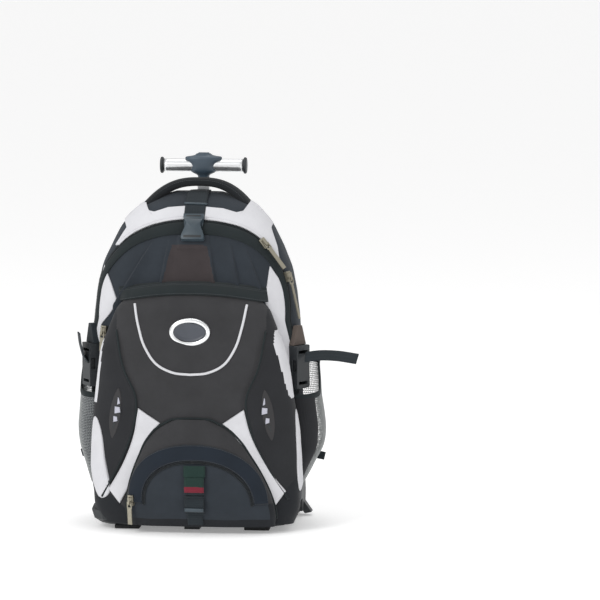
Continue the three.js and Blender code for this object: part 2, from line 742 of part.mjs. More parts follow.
// Carry handle: a padded arch whose ends are sewn down on the crown
function grabHandle() {
  const half = GRAB_SPAN / 2;
  const middle = GRAB_TOP - GRAB_THICK / 2;
  const rows = [-1, -0.8, -0.5, 0, 0.5, 0.8, 1];
  const stations = rows.map((t) => ({
    at: [t * half, GRAB_Y - 14 * Math.abs(t) ** 3, middle - GRAB_RISE * Math.abs(t) ** 2.6],
    out: [t * 0.6, 0, 1],
    width: GRAB_DEEP,
    thick: GRAB_THICK,
  }));
  add("grab_handle", strap(stations, 10, 8).subtract(body.off(2 * SEAM + SKIN)), "black");
}

// Centre strap over the crown, and its side-release buckle on the front slope
function topStrap() {
  const strapFoot = BUCKLE_HEIGHT + 0.34 * BUCKLE_LENGTH; // inside the plug's mouth
  const reach = box(-TOP_STRAP_WIDTH / 2, TOP_STRAP_WIDTH / 2, AHEAD, GRAB_Y + STRAP_OVERLAP, strapFoot, 2 * BODY_TOP);
  const strapLayer = layerOn(body, 2 * SEAM + SKIN, WEBBING).intersect(reach);
  add("top_strap", strapLayer.subtract(zipStrip(SEAM)), "webbing");

  const z = BUCKLE_HEIGHT;
  const slope = Math.atan2(body.frontAt(0, z + 0.45 * BUCKLE_LENGTH) - body.frontAt(0, z - 0.45 * BUCKLE_LENGTH), 0.9 * BUCKLE_LENGTH);
  const seat = new THREE.Matrix4()
    .makeTranslation(0, body.frontAt(0, z) - BUCKLE_LIFT, z)
    .multiply(new THREE.Matrix4().makeRotationX(-slope));
  const w = BUCKLE_WIDTH / 2;
  const l = BUCKLE_LENGTH / 2;
  const t = BUCKLE_THICKNESS;
  const split = 0.35 * l;
  let socket = box(-w, w, -t, 4, -l, split);
  for (const side of [-1, 1]) {
    const [x0, x1] = [side * 0.5 * w, side * 1.1 * w].sort((a, b) => a - b);
    socket = socket.subtract(box(x0, x1, -0.82 * t, -0.2 * t, -0.4 * l, split + 1));
  }
  socket = socket.subtract(box(-0.7 * w, 0.7 * w, -t - 1, 5, -0.8 * l, -0.62 * l));
  let plug = box(-0.88 * w, 0.88 * w, -t, 4, split + SEAM, l);
  for (const side of [-1, 1]) {
    const [x0, x1] = [side * 0.56 * w, side * 0.86 * w].sort((a, b) => a - b);
    plug = plug.add(box(x0, x1, -0.76 * t, -0.28 * t, -0.3 * l, split + 1));
  }
  plug = plug.subtract(box(-0.6 * w, 0.6 * w, -t - 1, 5, 0.66 * l, 0.82 * l));
  const clear = body.off(BUCKLE_LIFT);
  add("buckle_socket", placed(socket, seat).subtract(clear), "buckle");
  add("buckle_plug", placed(plug, seat).subtract(clear), "buckle");
}

// Ladder of webbing loops down the middle of the lower pocket
function daisyChain() {
  const loops = [
    { up: 1.0, off: WEBBING },
    { up: 0.86, off: WEBBING },
    { up: 0.81, off: DAISY_LOOP },
    { up: 0.63, off: DAISY_LOOP },
    { up: 0.58, off: WEBBING },
    { up: 0.53, off: DAISY_LOOP },
    { up: 0.35, off: DAISY_LOOP },
    { up: 0.3, off: WEBBING },
    { up: 0.12, off: WEBBING },
  ];
  const x = swayAt(0.9 * DAISY_TOP);
  const line = loops.map(({ up, off }) => {
    const z = up * DAISY_TOP;
    return [lower.frontAt(x, z) - SEAM - off, z];
  });
  const backs = line.map(([y, z]) => [y + WEBBING + 0.6, z]).reverse();
  const half = DAISY_WIDTH / 2;
  add("daisy_chain", profile([...line, ...backs], x - half, x + half).subtract(lower.off(SEAM)), "webbing");
}

// Compression straps at the sides: a corner tab, a hanging buckle and its loose tail
function sideStraps() {
  const turn = (60 * Math.PI) / 180;
  const seat = (z) =>
    new THREE.Matrix4()
      .makeTranslation(BODY_WIDTH / 2 - 3, -0.48 * BODY_FRONT, z)
      .multiply(new THREE.Matrix4().makeRotationZ(turn));
  const lift = SEAM + ZIP_THICKNESS + SEAM;
  const w = SIDE_BUCKLE_WIDTH / 2;
  const tabTop = TAB_FOOT + TAB_HEIGHT;
  const tabShape = prism([[-w, 0], [w, 0], [0.35 * w, TAB_HEIGHT], [-0.35 * w, TAB_HEIGHT]], -5, 10);
  const tab = placed(tabShape, seat(TAB_FOOT)).subtract(body.off(lift));
  let buckle = box(-w, w, -SIDE_BUCKLE_THICKNESS, 8, -SIDE_BUCKLE_LENGTH, -SEAM);
  for (const up of [-0.16, -0.88])
    buckle = buckle.subtract(
      box(-0.7 * w, 0.7 * w, -20, 12, up * SIDE_BUCKLE_LENGTH - 2, up * SIDE_BUCKLE_LENGTH + 2),
    );
  for (const side of [-1, 1]) {
    const [x0, x1] = [side * 0.62 * w, side * 1.1 * w].sort((a, b) => a - b);
    buckle = buckle.subtract(
      box(x0, x1, -0.8 * SIDE_BUCKLE_THICKNESS, -2, -0.6 * SIDE_BUCKLE_LENGTH, -0.34 * SIDE_BUCKLE_LENGTH),
    );
  }
  const hung = placed(buckle, seat(TAB_FOOT)).subtract(body.off(lift));
  const tabRight = tab.intersect(box(0, 2 * BODY_WIDTH, AHEAD, 0, 0, tabTop + 1));
  add("strap_tab_right", tabRight, "webbing");
  add("strap_tab_left", mirrored(tabRight), "webbing");
  add("side_buckle_right", hung, "plastic");
  add("side_buckle_left", mirrored(hung), "plastic");

  const room = placed(
    box(-w - SEAM, w + SEAM, -SIDE_BUCKLE_THICKNESS - SEAM, 8, -SIDE_BUCKLE_LENGTH - SEAM, 0),
    seat(TAB_FOOT),
  );
  const root = BODY_WIDTH / 2 + SIDE_BUCKLE_THICKNESS + 8;
  const tail = (points, out) =>
    strap(points.map((at) => ({ at, out, width: TAIL_WIDTH, thick: WEBBING })), 10, 4);
  const z = TAB_FOOT - 0.3 * SIDE_BUCKLE_LENGTH;
  const right = tail(
    [
      [root - 13, -38, z],
      [root + 0.3 * TAIL_REACH, -40, z + 7],
      [root + 0.7 * TAIL_REACH, -42, z + 5],
      [root + TAIL_REACH, -44, z - 4],
    ],
    [0, -0.5, 0.87],
  );
  add("strap_tail_right", right.subtract(room), "webbing");
  const left = tail(
    [
      [-root + 13, -33, z - 8],
      [-root + 6, -37, z + 4],
      [-root + 1, -39, z + 18],
      [-root - 3, -39, z + 34],
    ],
    [-0.87, -0.5, 0],
  );
  add("strap_tail_left", left.subtract(mirrored(room)), "webbing");
}

// Moulded tray under the bag with its skid, and a foot at each front corner
function base() {
  const half = BODY_WIDTH / 2;
  const tray = form(
    [
      { z: TRAY_BOTTOM, left: -0.9 * half, right: 0.9 * half, front: 14 - TRAY_FRONT, back: 60 },
      { z: TRAY_BOTTOM + 8, left: -0.97 * half, right: 0.97 * half, front: 4 - TRAY_FRONT, back: 66 },
      { z: TRAY_TOP, left: -0.995 * half, right: 0.995 * half, front: -TRAY_FRONT, back: 68 },
    ],
    5,
    16,
  );
  const skid = box(-SKID_WIDTH / 2, SKID_WIDTH / 2, 22 - TRAY_FRONT, 50, 0, TRAY_BOTTOM + 2);
  const dish = tray.off(0).add(skid).subtract(body.off(SEAM)).subtract(pocket.off(SEAM));
  const front = box(-BODY_WIDTH, BODY_WIDTH, AHEAD, BODY_BACK - 1, -1, TRAY_TOP);
  add("base_tray", dish.subtract(lower.off(SEAM)).intersect(front), "plastic");
  for (const { side, word } of SIDES) {
    const x = side * 0.62 * half;
    const y = FOOT_INSET - TRAY_FRONT;
    const foot = box(x - FOOT_LENGTH / 2, x + FOOT_LENGTH / 2, y - FOOT_DEPTH / 2, y + FOOT_DEPTH / 2, 0, FOOT_HEIGHT);
    add("foot_" + word, foot, "rubber");
  }
}

// Wheel bucket with its axle pin and flared outer corner, and the wheel
function runningGear() {
  const r = WHEEL_DIAMETER / 2;
  const inner = WHEEL_X - WHEEL_WIDTH / 2 - HOUSING_WALL;
  const outer = WHEEL_X + WHEEL_WIDTH / 2 + HOUSING_WALL;
  const front = BODY_BACK + SEAM;
  const sideView = [
    [front, 8],
    [WHEEL_Y - 6, 8],
    [WHEEL_Y + 10, 16],
    [WHEEL_Y + 14, 34],
    [WHEEL_Y + 6, 58],
    [WHEEL_Y - 12, HOUSING_TOP],
    [HOUSING_FRONT, HOUSING_TOP],
    [HOUSING_FRONT, TRAY_TOP + SEAM],
    [front, TRAY_TOP + SEAM],
  ];
  const well = [
    [front + 4, -5],
    [WHEEL_Y + 40, -5],
    [WHEEL_Y + 40, HOUSING_TOP - 8],
    [front + 4, HOUSING_TOP - 8],
  ];
  const gap = WHEEL_WIDTH / 2 + RUNNING_GAP;
  let bucket = profile(sideView, inner, outer).subtract(profile(well, WHEEL_X - gap, WHEEL_X + gap));
  bucket = bucket.add(barX(AXLE_DIAMETER / 2, WHEEL_X - gap - 1, WHEEL_X + gap + 1, WHEEL_Y, r, 16));
  const fin = prism([[outer - 3, 26], [outer + 12, 5], [outer + 2, 3], [outer - 3, 9]], 80, 100);
  const netClearance = box(0, BODY_WIDTH, 0, 2 + NET_HALF_DEPTH + SEAM, NET_BOTTOM - SEAM, BODY_TOP);
  bucket = bucket.add(fin).subtract(body.off(SEAM)).subtract(netClearance);

  const bore = AXLE_DIAMETER / 2 + RUNNING_GAP / 2;
  const h = WHEEL_WIDTH / 2;
  const rim = [
    [bore, -h],
    [0.3 * r, -h],
    [0.36 * r, -0.7 * h],
    [0.68 * r, -0.7 * h],
    [0.74 * r, -0.94 * h],
    [0.93 * r, -0.94 * h],
    [r, -0.5 * h],
  ];
  const tyre = [...rim, ...rim.map(([radius, x]) => [radius, -x]).reverse()];
  const points = [...tyre, tyre[0]].map(([radius, x]) => new THREE.Vector2(radius, x));
  const wheel = solid(new THREE.LatheGeometry(points, WHEEL_SIDES).rotateZ(-Math.PI / 2).translate(WHEEL_X, WHEEL_Y, r));
  add("wheel_housing_right", bucket, "plastic");
  add("wheel_housing_left", mirrored(bucket), "plastic");
  add("wheel_right", wheel, "rubber");
  add("wheel_left", mirrored(wheel), "rubber");
}

// Telescoping post: case, two stages, and the T-shaped handle with its push button
function trolley() {
  const tube = (width, depth, wall, z0, z1) => {
    const outside = box(-width / 2, width / 2, POST_Y - depth / 2, POST_Y + depth / 2, z0, z1);
    if (!wall) return outside;
    const [w, d] = [width / 2 - wall, depth / 2 - wall];
    return outside.subtract(box(-w, w, POST_Y - d, POST_Y + d, z0 - 1, z1 + 1));
  };
  add("trolley_case", tube(CASE_WIDTH, CASE_DEPTH, CASE_WALL, CASE_BOTTOM, CASE_TOP), "silver");
  const lowerWidth = CASE_WIDTH - 2 * (CASE_WALL + STAGE_GAP);
  const lowerDepth = CASE_DEPTH - 2 * (CASE_WALL + STAGE_GAP);
  const lowerTop = CASE_TOP + 7;
  add("handle_stage_lower", tube(lowerWidth, lowerDepth, STAGE_WALL, CASE_BOTTOM + 6, lowerTop), "silver");
  const upperWidth = lowerWidth - 2 * (STAGE_WALL + STAGE_GAP);
  const upperDepth = lowerDepth - 2 * (STAGE_WALL + STAGE_GAP);
  add("handle_stage_upper", tube(upperWidth, upperDepth, 0, CASE_BOTTOM + 12, KNOB_BOTTOM - SEAM), "silver");
  const collar = tube(CASE_WIDTH + 14, CASE_DEPTH + 9, 0, CASE_TOP - 10, CASE_TOP + 4);
  const bore = tube(CASE_WIDTH + 2 * SEAM, CASE_DEPTH + 2 * SEAM, 0, CASE_TOP - 12, CASE_TOP + 6);
  add("handle_bezel", collar.subtract(bore).subtract(body.off(2 * SEAM + SKIN)), "plastic");

  // Front view of the knob, as shares of its half width and height
  const side = [
    { across: 0.3, up: 0 },
    { across: 0.42, up: 0.12 },
    { across: 0.98, up: 0.2 },
    { across: 0.98, up: 0.28 },
    { across: 0.66, up: 0.5 },
    { across: 0.96, up: 0.78 },
    { across: 1, up: 0.86 },
    { across: 0.55, up: 0.95 },
    { across: 0.42, up: 1 },
  ].map(({ across, up }) => [(across * KNOB_WIDTH) / 2, KNOB_BOTTOM + up * KNOB_HEIGHT]);
  const outline = [...side, ...flipped(side).reverse()];
  const gripZ = KNOB_BOTTOM + GRIP_HEIGHT;
  const grip = GRIP_DIAMETER / 2;
  const top = KNOB_BOTTOM + KNOB_HEIGHT;
  const [bw, bd] = [BUTTON_WIDTH / 2, BUTTON_DEPTH / 2];
  const buttonSeat = top - BUTTON_HEIGHT + 1.5;
  const knob = prism(outline, POST_Y - KNOB_DEPTH / 2, POST_Y + KNOB_DEPTH / 2)
    .subtract(barX(grip + SEAM, -KNOB_WIDTH, KNOB_WIDTH, POST_Y, gripZ, GRIP_SIDES))
    .subtract(
      box(-bw - SEAM, bw + SEAM, POST_Y - bd - SEAM, POST_Y + bd + SEAM, buttonSeat - BUTTON_STROKE, top + 9),
    );
  add("handle_knob", knob, "knob");
  add(
    "push_button",
    box(-bw, bw, POST_Y - bd, POST_Y + bd, buttonSeat + SEAM, buttonSeat + BUTTON_HEIGHT),
    "knob",
  );
  const end = GRIP_LENGTH / 2;
  add("grip_tube", barX(grip, CAP_LENGTH - end, end - CAP_LENGTH, POST_Y, gripZ, GRIP_SIDES), "silver");
  const cap = barX(CAP_DIAMETER / 2, end - CAP_LENGTH + SEAM, end, POST_Y, gripZ, GRIP_SIDES);
  add("grip_cap_right", cap, "plastic");
  add("grip_cap_left", mirrored(cap), "plastic");
}

// Padded back with a channel for the post, and the two shoulder straps
function paddedBack() {
  const rows = [
    { up: 0, half: 0.9, back: 0.7 },
    { up: 0.06, half: 1, back: 1 },
    { up: 0.4, half: 1, back: 0.96 },
    { up: 0.8, half: 0.92, back: 1 },
    { up: 0.96, half: 0.8, back: 0.9 },
    { up: 1, half: 0.7, back: 0.6 },
  ];
  const pad = form(
    rows.map((row) => ({
      z: PAD_BOTTOM + row.up * (PAD_TOP - PAD_BOTTOM),
      left: (-row.half * PAD_WIDTH) / 2,
      right: (row.half * PAD_WIDTH) / 2,
      front: BODY_BACK - 20,
      back: BODY_BACK + row.back * (PAD_BACK - BODY_BACK),
    })),
    4,
    16,
  );
  const w = CASE_WIDTH / 2 + SEAM;
  const channel = box(-w, w, 0, POST_Y + CASE_DEPTH / 2 + SEAM, 0, BODY_TOP);
  let cushion = pad.off(0).subtract(channel).subtract(body.off(SEAM));
  for (const up of [0.36, 0.66]) {
    const z = PAD_BOTTOM + up * (PAD_TOP - PAD_BOTTOM);
    cushion = cushion.subtract(box(-PAD_WIDTH, PAD_WIDTH, PAD_BACK - 5, PAD_BACK + 9, z - 3, z + 3));
  }
  add("back_panel", cushion, "black");

  const face = PAD_BACK + STRAP_PADDING / 2 - 2 * SEAM;
  const half = BODY_WIDTH / 2;
  for (const { side, word } of SIDES) {
    const place = ({ across, up, y, out }) => ({ at: [side * across * half, y, up * BODY_TOP], out: [side * out[0], out[1], out[2]] });
    const padded = [
      { across: 0.252, up: 0.9456, y: BODY_BACK - 2, out: [0, 0.6, 1], wide: 0.6, full: 0.33 },
      { across: 0.278, up: 0.929, y: face, out: [0, 1, 0.6], wide: 0.8, full: 0.7 },
      { across: 0.358, up: 0.837, y: face, out: [0, 1, 0], wide: 1, full: 1 },
      { across: 0.49, up: 0.649, y: face, out: [0, 1, 0], wide: 0.95, full: 1 },
      { across: 0.609, up: 0.46, y: face, out: [0, 1, 0], wide: 0.8, full: 0.9 },
    ].map((row) => ({ ...place(row), width: row.wide * STRAP_WIDTH, thick: row.full * STRAP_PADDING }));
    const webbing = [
      { across: 0.689, up: 0.397, y: face - 1, out: [0, 1, 0], wide: 1 },
      { across: 0.854, up: 0.297, y: PAD_BACK - 6, out: [0.9, 0.6, 0], wide: 1 },
      { across: 0.841, up: 0.222, y: BODY_BACK - 8, out: [0.7, 0.7, 0], wide: 0.88 },
      { across: 0.967, up: 0.203, y: BODY_BACK - 8, out: [0.2, 1, 0.2], wide: 0.56 },
      { across: 1.113, up: 0.192, y: BODY_BACK - 5, out: [0.2, 1, 0.2], wide: 0.48 },
    ].map((row) => ({ ...place(row), width: row.wide * STRAP_WEBBING_WIDTH, thick: WEBBING }));
    const stations = [...padded, ...webbing];
    const whole = strap(stations, 12, 8).subtract(pad.off(SEAM)).subtract(body.off(SEAM));
    add("shoulder_strap_" + word, whole, "black");
  }
}

// Zip slider with its bridge, and a pull whose bar lies under the bridge. Both are drawn with
// the cloth at local y = 0, the outside towards -y and the pull hanging along -z.
const PULL_BAR = { y: -5.8, z: -1.8, radius: 0.8 };
function sliderShape() {
  const bridge = [[-3, -4.2], [-8.4, -4.2], [-8.4, 6], [-3, 6], [-3, 4.8], [-7.3, 4.8], [-7.3, -3.1], [-3, -3.1]];
  return box(-4.5, 4.5, -3.6, 3, -7, 8).add(profile(bridge.slice().reverse(), -1.4, 1.4));
}
function pullShape(width, length) {
  const ring = box(-4, 4, PULL_BAR.y - 0.7, PULL_BAR.y + 0.7, -11, PULL_BAR.z);
  const hole = box(-2.4, 2.4, -9, -3, -9, PULL_BAR.z + 2);
  const bar = barX(PULL_BAR.radius, -4, 4, PULL_BAR.y, PULL_BAR.z, 6);
  const blade = box(-width / 2, width / 2, PULL_BAR.y - 0.8, PULL_BAR.y + 0.8, -length, -10.5);
  return ring.subtract(hole).add(bar).add(blade);
}

// Where the sliders sit, which way each pull hangs (to the right and down), its size, and the
// thickness of what lies under the slider
const zips = [
  { name: "main", rank: "_upper", on: body, across: 0.66, up: 0.855, right: 27, down: 38, width: 6, length: 46, under: ZIP_THICKNESS },
  { name: "main", rank: "_lower", on: body, across: 0.87, up: 0.755, right: 11, down: 60, width: 4, length: 62, under: ZIP_THICKNESS },
  { name: "pocket", rank: "", on: body, across: -0.845, up: 0.59, right: -2, down: 30, width: 6, length: 28, under: SKIN },
  { name: "lower", rank: "", on: lower, across: -0.885, up: 0.1, right: -1, down: 30, width: 7, length: 34, under: ZIP_THICKNESS },
];
function zipPulls() {
  for (const zip of zips) {
    const [bodyX, z] = onBody(zip);
    const x = zip.on === lower ? swayAt(z) + (zip.across * LOWER_WIDTH) / 2 : bodyX;
    const surface = (dx, dz) => new THREE.Vector3(x + dx, zip.on.frontAt(x + dx, z + dz), z + dz);
    const here = surface(0, 0);
    const rightward = surface(2, 0).sub(surface(-2, 0));
    const upward = surface(0, 2).sub(surface(0, -2));
    const out = new THREE.Vector3().crossVectors(rightward, upward).normalize();
    const hang = new THREE.Vector3(zip.right, 0, -zip.down);
    hang.addScaledVector(out, -hang.dot(out)).normalize();
    const [localY, localZ] = [out.clone().negate(), hang.clone().negate()];
    const localX = new THREE.Vector3().crossVectors(localY, localZ);
    const seat = here.addScaledVector(out, zip.under + 2 * SEAM);
    const matrix = new THREE.Matrix4().makeBasis(localX, localY, localZ).setPosition(seat);
    const slider = placed(sliderShape(), matrix).subtract(zip.on.off(zip.under + 2 * SEAM));
    add(zip.name + "_slider" + zip.rank, slider, "metal");
    add(zip.name + "_pull" + zip.rank, placed(pullShape(zip.width, zip.length), matrix), "metal");
  }
}

mainCompartment();
palePanels();
frontCompartment();
pocketPanels();
lowerPocket();
trims();
sidePockets();
grabHandle();
topStrap();
daisyChain();
sideStraps();
base();
runningGear();
trolley();
paddedBack();
zipPulls();

export default group;
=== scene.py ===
import json

import bmesh
import bpy
import numpy as np
from mathutils import Matrix, Vector


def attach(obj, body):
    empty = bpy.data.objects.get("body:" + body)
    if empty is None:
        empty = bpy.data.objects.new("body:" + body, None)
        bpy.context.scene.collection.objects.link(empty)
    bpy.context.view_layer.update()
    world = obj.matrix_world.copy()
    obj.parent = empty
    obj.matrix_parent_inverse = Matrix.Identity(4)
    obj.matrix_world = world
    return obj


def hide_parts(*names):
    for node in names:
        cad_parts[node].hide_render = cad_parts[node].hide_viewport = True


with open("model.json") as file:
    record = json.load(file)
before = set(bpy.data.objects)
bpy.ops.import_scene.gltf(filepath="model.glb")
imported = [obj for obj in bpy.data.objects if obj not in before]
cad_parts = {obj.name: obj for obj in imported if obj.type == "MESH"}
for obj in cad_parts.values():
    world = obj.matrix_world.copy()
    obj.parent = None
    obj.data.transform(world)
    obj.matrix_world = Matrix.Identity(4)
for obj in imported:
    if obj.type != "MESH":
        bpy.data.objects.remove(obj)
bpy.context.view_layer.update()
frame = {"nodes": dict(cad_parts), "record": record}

# Tub of the main compartment: sides, crown and back of woven polyester with a foam lining, sewn
# to one open shell. It sags a little between its seams, and stays open behind the door.
MM = 0.001
BODY_WIDTH, BODY_TOP, BODY_BOTTOM = 302, 478, 12
BODY_FRONT, BODY_BACK = 62, 66
CLOTH_WALL = 2 * MM


def through(at, places, values):
    """A smooth line through a few values: cubic pieces whose slope at each value is that of its neighbours."""
    at = np.clip(at, places[0], places[-1])
    slope = np.gradient(values, places)
    k = np.clip(np.searchsorted(places, at) - 1, 0, len(places) - 2)
    step = places[k + 1] - places[k]
    t = (at - places[k]) / step
    rise = (2 * t**3 - 3 * t**2 + 1) * values[k] + (3 * t**2 - 2 * t**3) * values[k + 1]
    return rise + ((t**3 - 2 * t**2 + t) * slope[k] + (t**3 - t**2) * slope[k + 1]) * step


def run(line):
    """Length along a line of places, up to each of them."""
    return np.concatenate([[0], np.cumsum(np.linalg.norm(np.diff(line, axis=0), axis=1))])


def bend(v, squareness):
    """A circle's sine or cosine pushed towards a square's: its size to the power 2 / squareness."""
    return np.sign(v) * np.abs(v) ** (2 / squareness)


def make_form(rows, squareness):
    """A stuffed form: level sections, each a superellipse between left, right, front and back (rows in mm)."""
    return {"rows": np.array(rows, float) * MM, "n": squareness}


def section(form, z):
    """Middle x, half width, middle y and half depth of a form at height z."""
    rows = form["rows"]
    left, right, front, back = (through(z, rows[:, 0], rows[:, k]) for k in (1, 2, 3, 4))
    return (left + right) / 2, (right - left) / 2, (front + back) / 2, (back - front) / 2


def outward(form, place):
    """Unit normals at places on a form, from the slope of its superellipse across, back and up."""
    n = form["n"]

    def level(x, y, z):
        mx, hx, my, hy = section(form, z)
        return np.abs((x - mx) / hx) ** n + np.abs((y - my) / hy) ** n

    x, y, z = place[..., 0], place[..., 1], place[..., 2]
    e = 1e-4
    slope = [level(x + e, y, z) - level(x - e, y, z), level(x, y + e, z) - level(x, y - e, z)]
    slope.append(level(x, y, z + e) - level(x, y, z - e))
    slope = np.stack(slope, -1)
    return slope / (np.linalg.norm(slope, axis=-1, keepdims=True) + 1e-12)


def sag(place):
    """How far packed cloth stands in or out at a place: three crossing waves of 45 to 110 mm, under 1 mm high."""
    x, y, z = place[..., 0], place[..., 1], place[..., 2]
    long_wave = np.sin(57 * x + 31 * z + 1.3) * np.sin(43 * z - 22 * y + 0.4)
    short_wave = np.sin(118 * x - 64 * z + 2.1) * np.sin(96 * z + 70 * y + 1.1)
    return 0.00075 * long_wave + 0.0003 * short_wave


def around(form, angle, z, lift=0.0):
    """Places round a form at an angle and a height, moved out by lift and by the cloth's sag."""
    mx, hx, my, hy = section(form, z)
    x, y = mx + hx * bend(np.cos(angle), form["n"]), my + hy * bend(np.sin(angle), form["n"])
    x, y, z = np.broadcast_arrays(x, y, z)
    place = np.stack([x, y, z], -1)
    return place + outward(form, place) * (lift + sag(place))[..., None]


def lay(form, x, z, lift=0.0):
    """Places on the front of a form under the points x, z: y from its superellipse, then out by lift and sag."""
    x, z, lift = np.broadcast_arrays(x, z, lift)
    mx, hx, my, hy = section(form, z)
    across = np.clip((x - mx) / hx, -0.9985, 0.9985)
    y = my - hy * (1 - np.abs(across) ** form["n"]) ** (1 / form["n"])
    place = np.stack([mx + across * hx, y, z], -1)
    return place + outward(form, place) * (lift + sag(place))[..., None]


def even_angles(form, height, count):
    """Angles of points that lie evenly spaced round a form's section at one height."""
    fine = np.linspace(0, 2 * np.pi, 2881)
    ring = around(form, fine, np.full(fine.shape, height))
    length = run(ring)
    return np.interp(np.linspace(0, length[-1], count, endpoint=False), length, fine)


def mesh_piece(name, places, faces, flat=None):
    """A mesh object from places and faces. flat holds the cloth's own flat coordinates in metres, its UV map."""
    mesh = bpy.data.meshes.new(name)
    mesh.from_pydata(np.asarray(places).reshape(-1, 3).tolist(), [], [f.tolist() for f in faces])
    mesh.polygons.foreach_set("use_smooth", np.ones(len(mesh.polygons), bool))
    if flat is not None:
        corner = np.empty(len(mesh.loops), np.int32)
        mesh.loops.foreach_get("vertex_index", corner)
        uv = mesh.uv_layers.new(name="cloth")
        uv.data.foreach_set("uv", np.asarray(flat, np.float32).reshape(-1, 2)[corner].ravel())
    mesh.update()
    piece = bpy.data.objects.new(name, mesh)
    bpy.context.scene.collection.objects.link(piece)
    return piece


def quads(rows, columns, closed=False):
    """Faces of a grid of rows by columns, turned out when columns run to the right and rows run up."""
    i, j = np.meshgrid(np.arange(rows - 1), np.arange(columns if closed else columns - 1), indexing="ij")
    k = (j + 1) % columns
    corners = [i * columns + j, i * columns + k, (i + 1) * columns + k, (i + 1) * columns + j]
    return np.stack(corners, -1).reshape(-1, 4)


def weld(piece, distance=0.00005):
    """Merges doubled vertices, drops faces of no area and turns the faces out."""
    work = bmesh.new()
    work.from_mesh(piece.data)
    bmesh.ops.remove_doubles(work, verts=work.verts, dist=distance)
    bmesh.ops.dissolve_degenerate(work, edges=work.edges, dist=distance)
    bmesh.ops.recalc_face_normals(work, faces=work.faces)
    work.to_mesh(piece.data)
    work.free()
    piece.data.update()
    return piece


def thicken(piece, thickness):
    """A cloth wall: the skin gets its thickness inwards."""
    wall = piece.modifiers.new("wall", "SOLIDIFY")
    wall.thickness = thickness
    wall.offset = -1
    wall.use_even_offset = False
    return piece


def place_on(piece, material, body, nodes, slot):
    """Gives a finished piece its material and its CAD body, and hides the CAD nodes that it stands for. Its slot is
    not used.
    """
    piece.data.materials.clear()
    piece.data.materials.append(material)
    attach(piece, body)
    if nodes:
        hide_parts(*nodes)
    return piece


def centres(piece):
    """Middle of each face of a piece."""
    middle = np.empty(len(piece.data.polygons) * 3)
    piece.data.polygons.foreach_get("center", middle)
    return middle.reshape(-1, 3)


def paint(piece, material, mask):
    """Gives the faces in a mask a further material, as a panel of another cloth sewn into the piece."""
    piece.data.materials.append(material)
    index = np.empty(len(piece.data.polygons), np.int32)
    piece.data.polygons.foreach_get("material_index", index)
    index[mask] = len(piece.data.materials) - 1
    piece.data.polygons.foreach_set("material_index", index)


def new_material(name):
    """A material and its shader, with two short functions: one adds a node with values, one links sockets."""
    material = bpy.data.materials.new(name)
    material.use_nodes = True
    tree = material.node_tree

    def add(kind, values=None, **settings):
        node = tree.nodes.new(kind)
        for key, value in settings.items():
            setattr(node, key, value)
        for key, value in (values or {}).items():
            node.inputs[key].default_value = value
        return node

    return material, tree.nodes["Principled BSDF"], add, tree.links.new


def shades(add, link, noise, colour, variation, end):
    """A colour that goes from a darker to a lighter shade as a noise rises from 0.3 to end."""
    ramp = add("ShaderNodeValToRGB")
    elements = ramp.color_ramp.elements
    for element, position, share in zip(elements, (0.3, end), (1 - variation, 1 + variation)):
        element.position = position
        element.color = (*[min(1.0, c * share) for c in colour], 1)
    link(noise.outputs["Fac"], ramp.inputs["Fac"])
    return ramp.outputs["Color"]


def surface(add, link, shader, gloss, least, most, height, strength, distance):
    """Lets one socket drive a shader's roughness from least to most, and another its relief."""
    rough = add("ShaderNodeMapRange", {"To Min": least, "To Max": most})
    link(gloss, rough.inputs["Value"])
    link(rough.outputs["Result"], shader.inputs["Roughness"])
    relief = add("ShaderNodeBump", {"Strength": strength, "Distance": distance})
    link(height, relief.inputs["Height"])
    link(relief.outputs["Normal"], shader.inputs["Normal"])


def cloth_material(name, colour, pitch=0.0011, bump=0.35, roughness=0.85, variation=0.14, sheen=0.06, cross=1.0):
    """Plain-woven cloth: two crossed sine waves of the thread pitch for bump, slow noise for wear and dust."""
    material, shader, add, link = new_material(name)
    shader.inputs["Sheen Weight"].default_value = sheen
    shader.inputs["Sheen Roughness"].default_value = 0.6
    shader.inputs["Specular IOR Level"].default_value = 0.2
    where = add("ShaderNodeTexCoord")
    woven = add("ShaderNodeMath", operation="MULTIPLY")
    for k, (direction, share) in enumerate((("X", 1.0), ("Y", cross))):
        values = {"Scale": share * 0.314 / pitch, "Distortion": 0.0}
        wave = add("ShaderNodeTexWave", values, bands_direction=direction)
        link(where.outputs["UV"], wave.inputs["Vector"])
        link(wave.outputs["Fac"], woven.inputs[k])
    blotch = add("ShaderNodeTexNoise", {"Scale": 26.0, "Detail": 6.0, "Roughness": 0.62})
    link(where.outputs["Object"], blotch.inputs["Vector"])
    thread = add("ShaderNodeMix", {"Factor": 0.22}, data_type="RGBA", blend_type="MULTIPLY")
    link(shades(add, link, blotch, colour, variation, 0.72), thread.inputs["A"])
    link(woven.outputs["Value"], thread.inputs["B"])
    link(thread.outputs["Result"], shader.inputs["Base Color"])
    gloss, height = blotch.outputs["Fac"], woven.outputs["Value"]
    surface(add, link, shader, gloss, roughness - 0.06, roughness + 0.06, height, bump, 0.0003)
    return material


def srgb(red, green, blue):
    """A colour given in 0 to 255 as the linear values that a shader takes."""
    value = np.array([red, green, blue]) / 255
    return tuple(np.where(value <= 0.04045, value / 12.92, ((value + 0.055) / 1.055) ** 2.4).tolist())


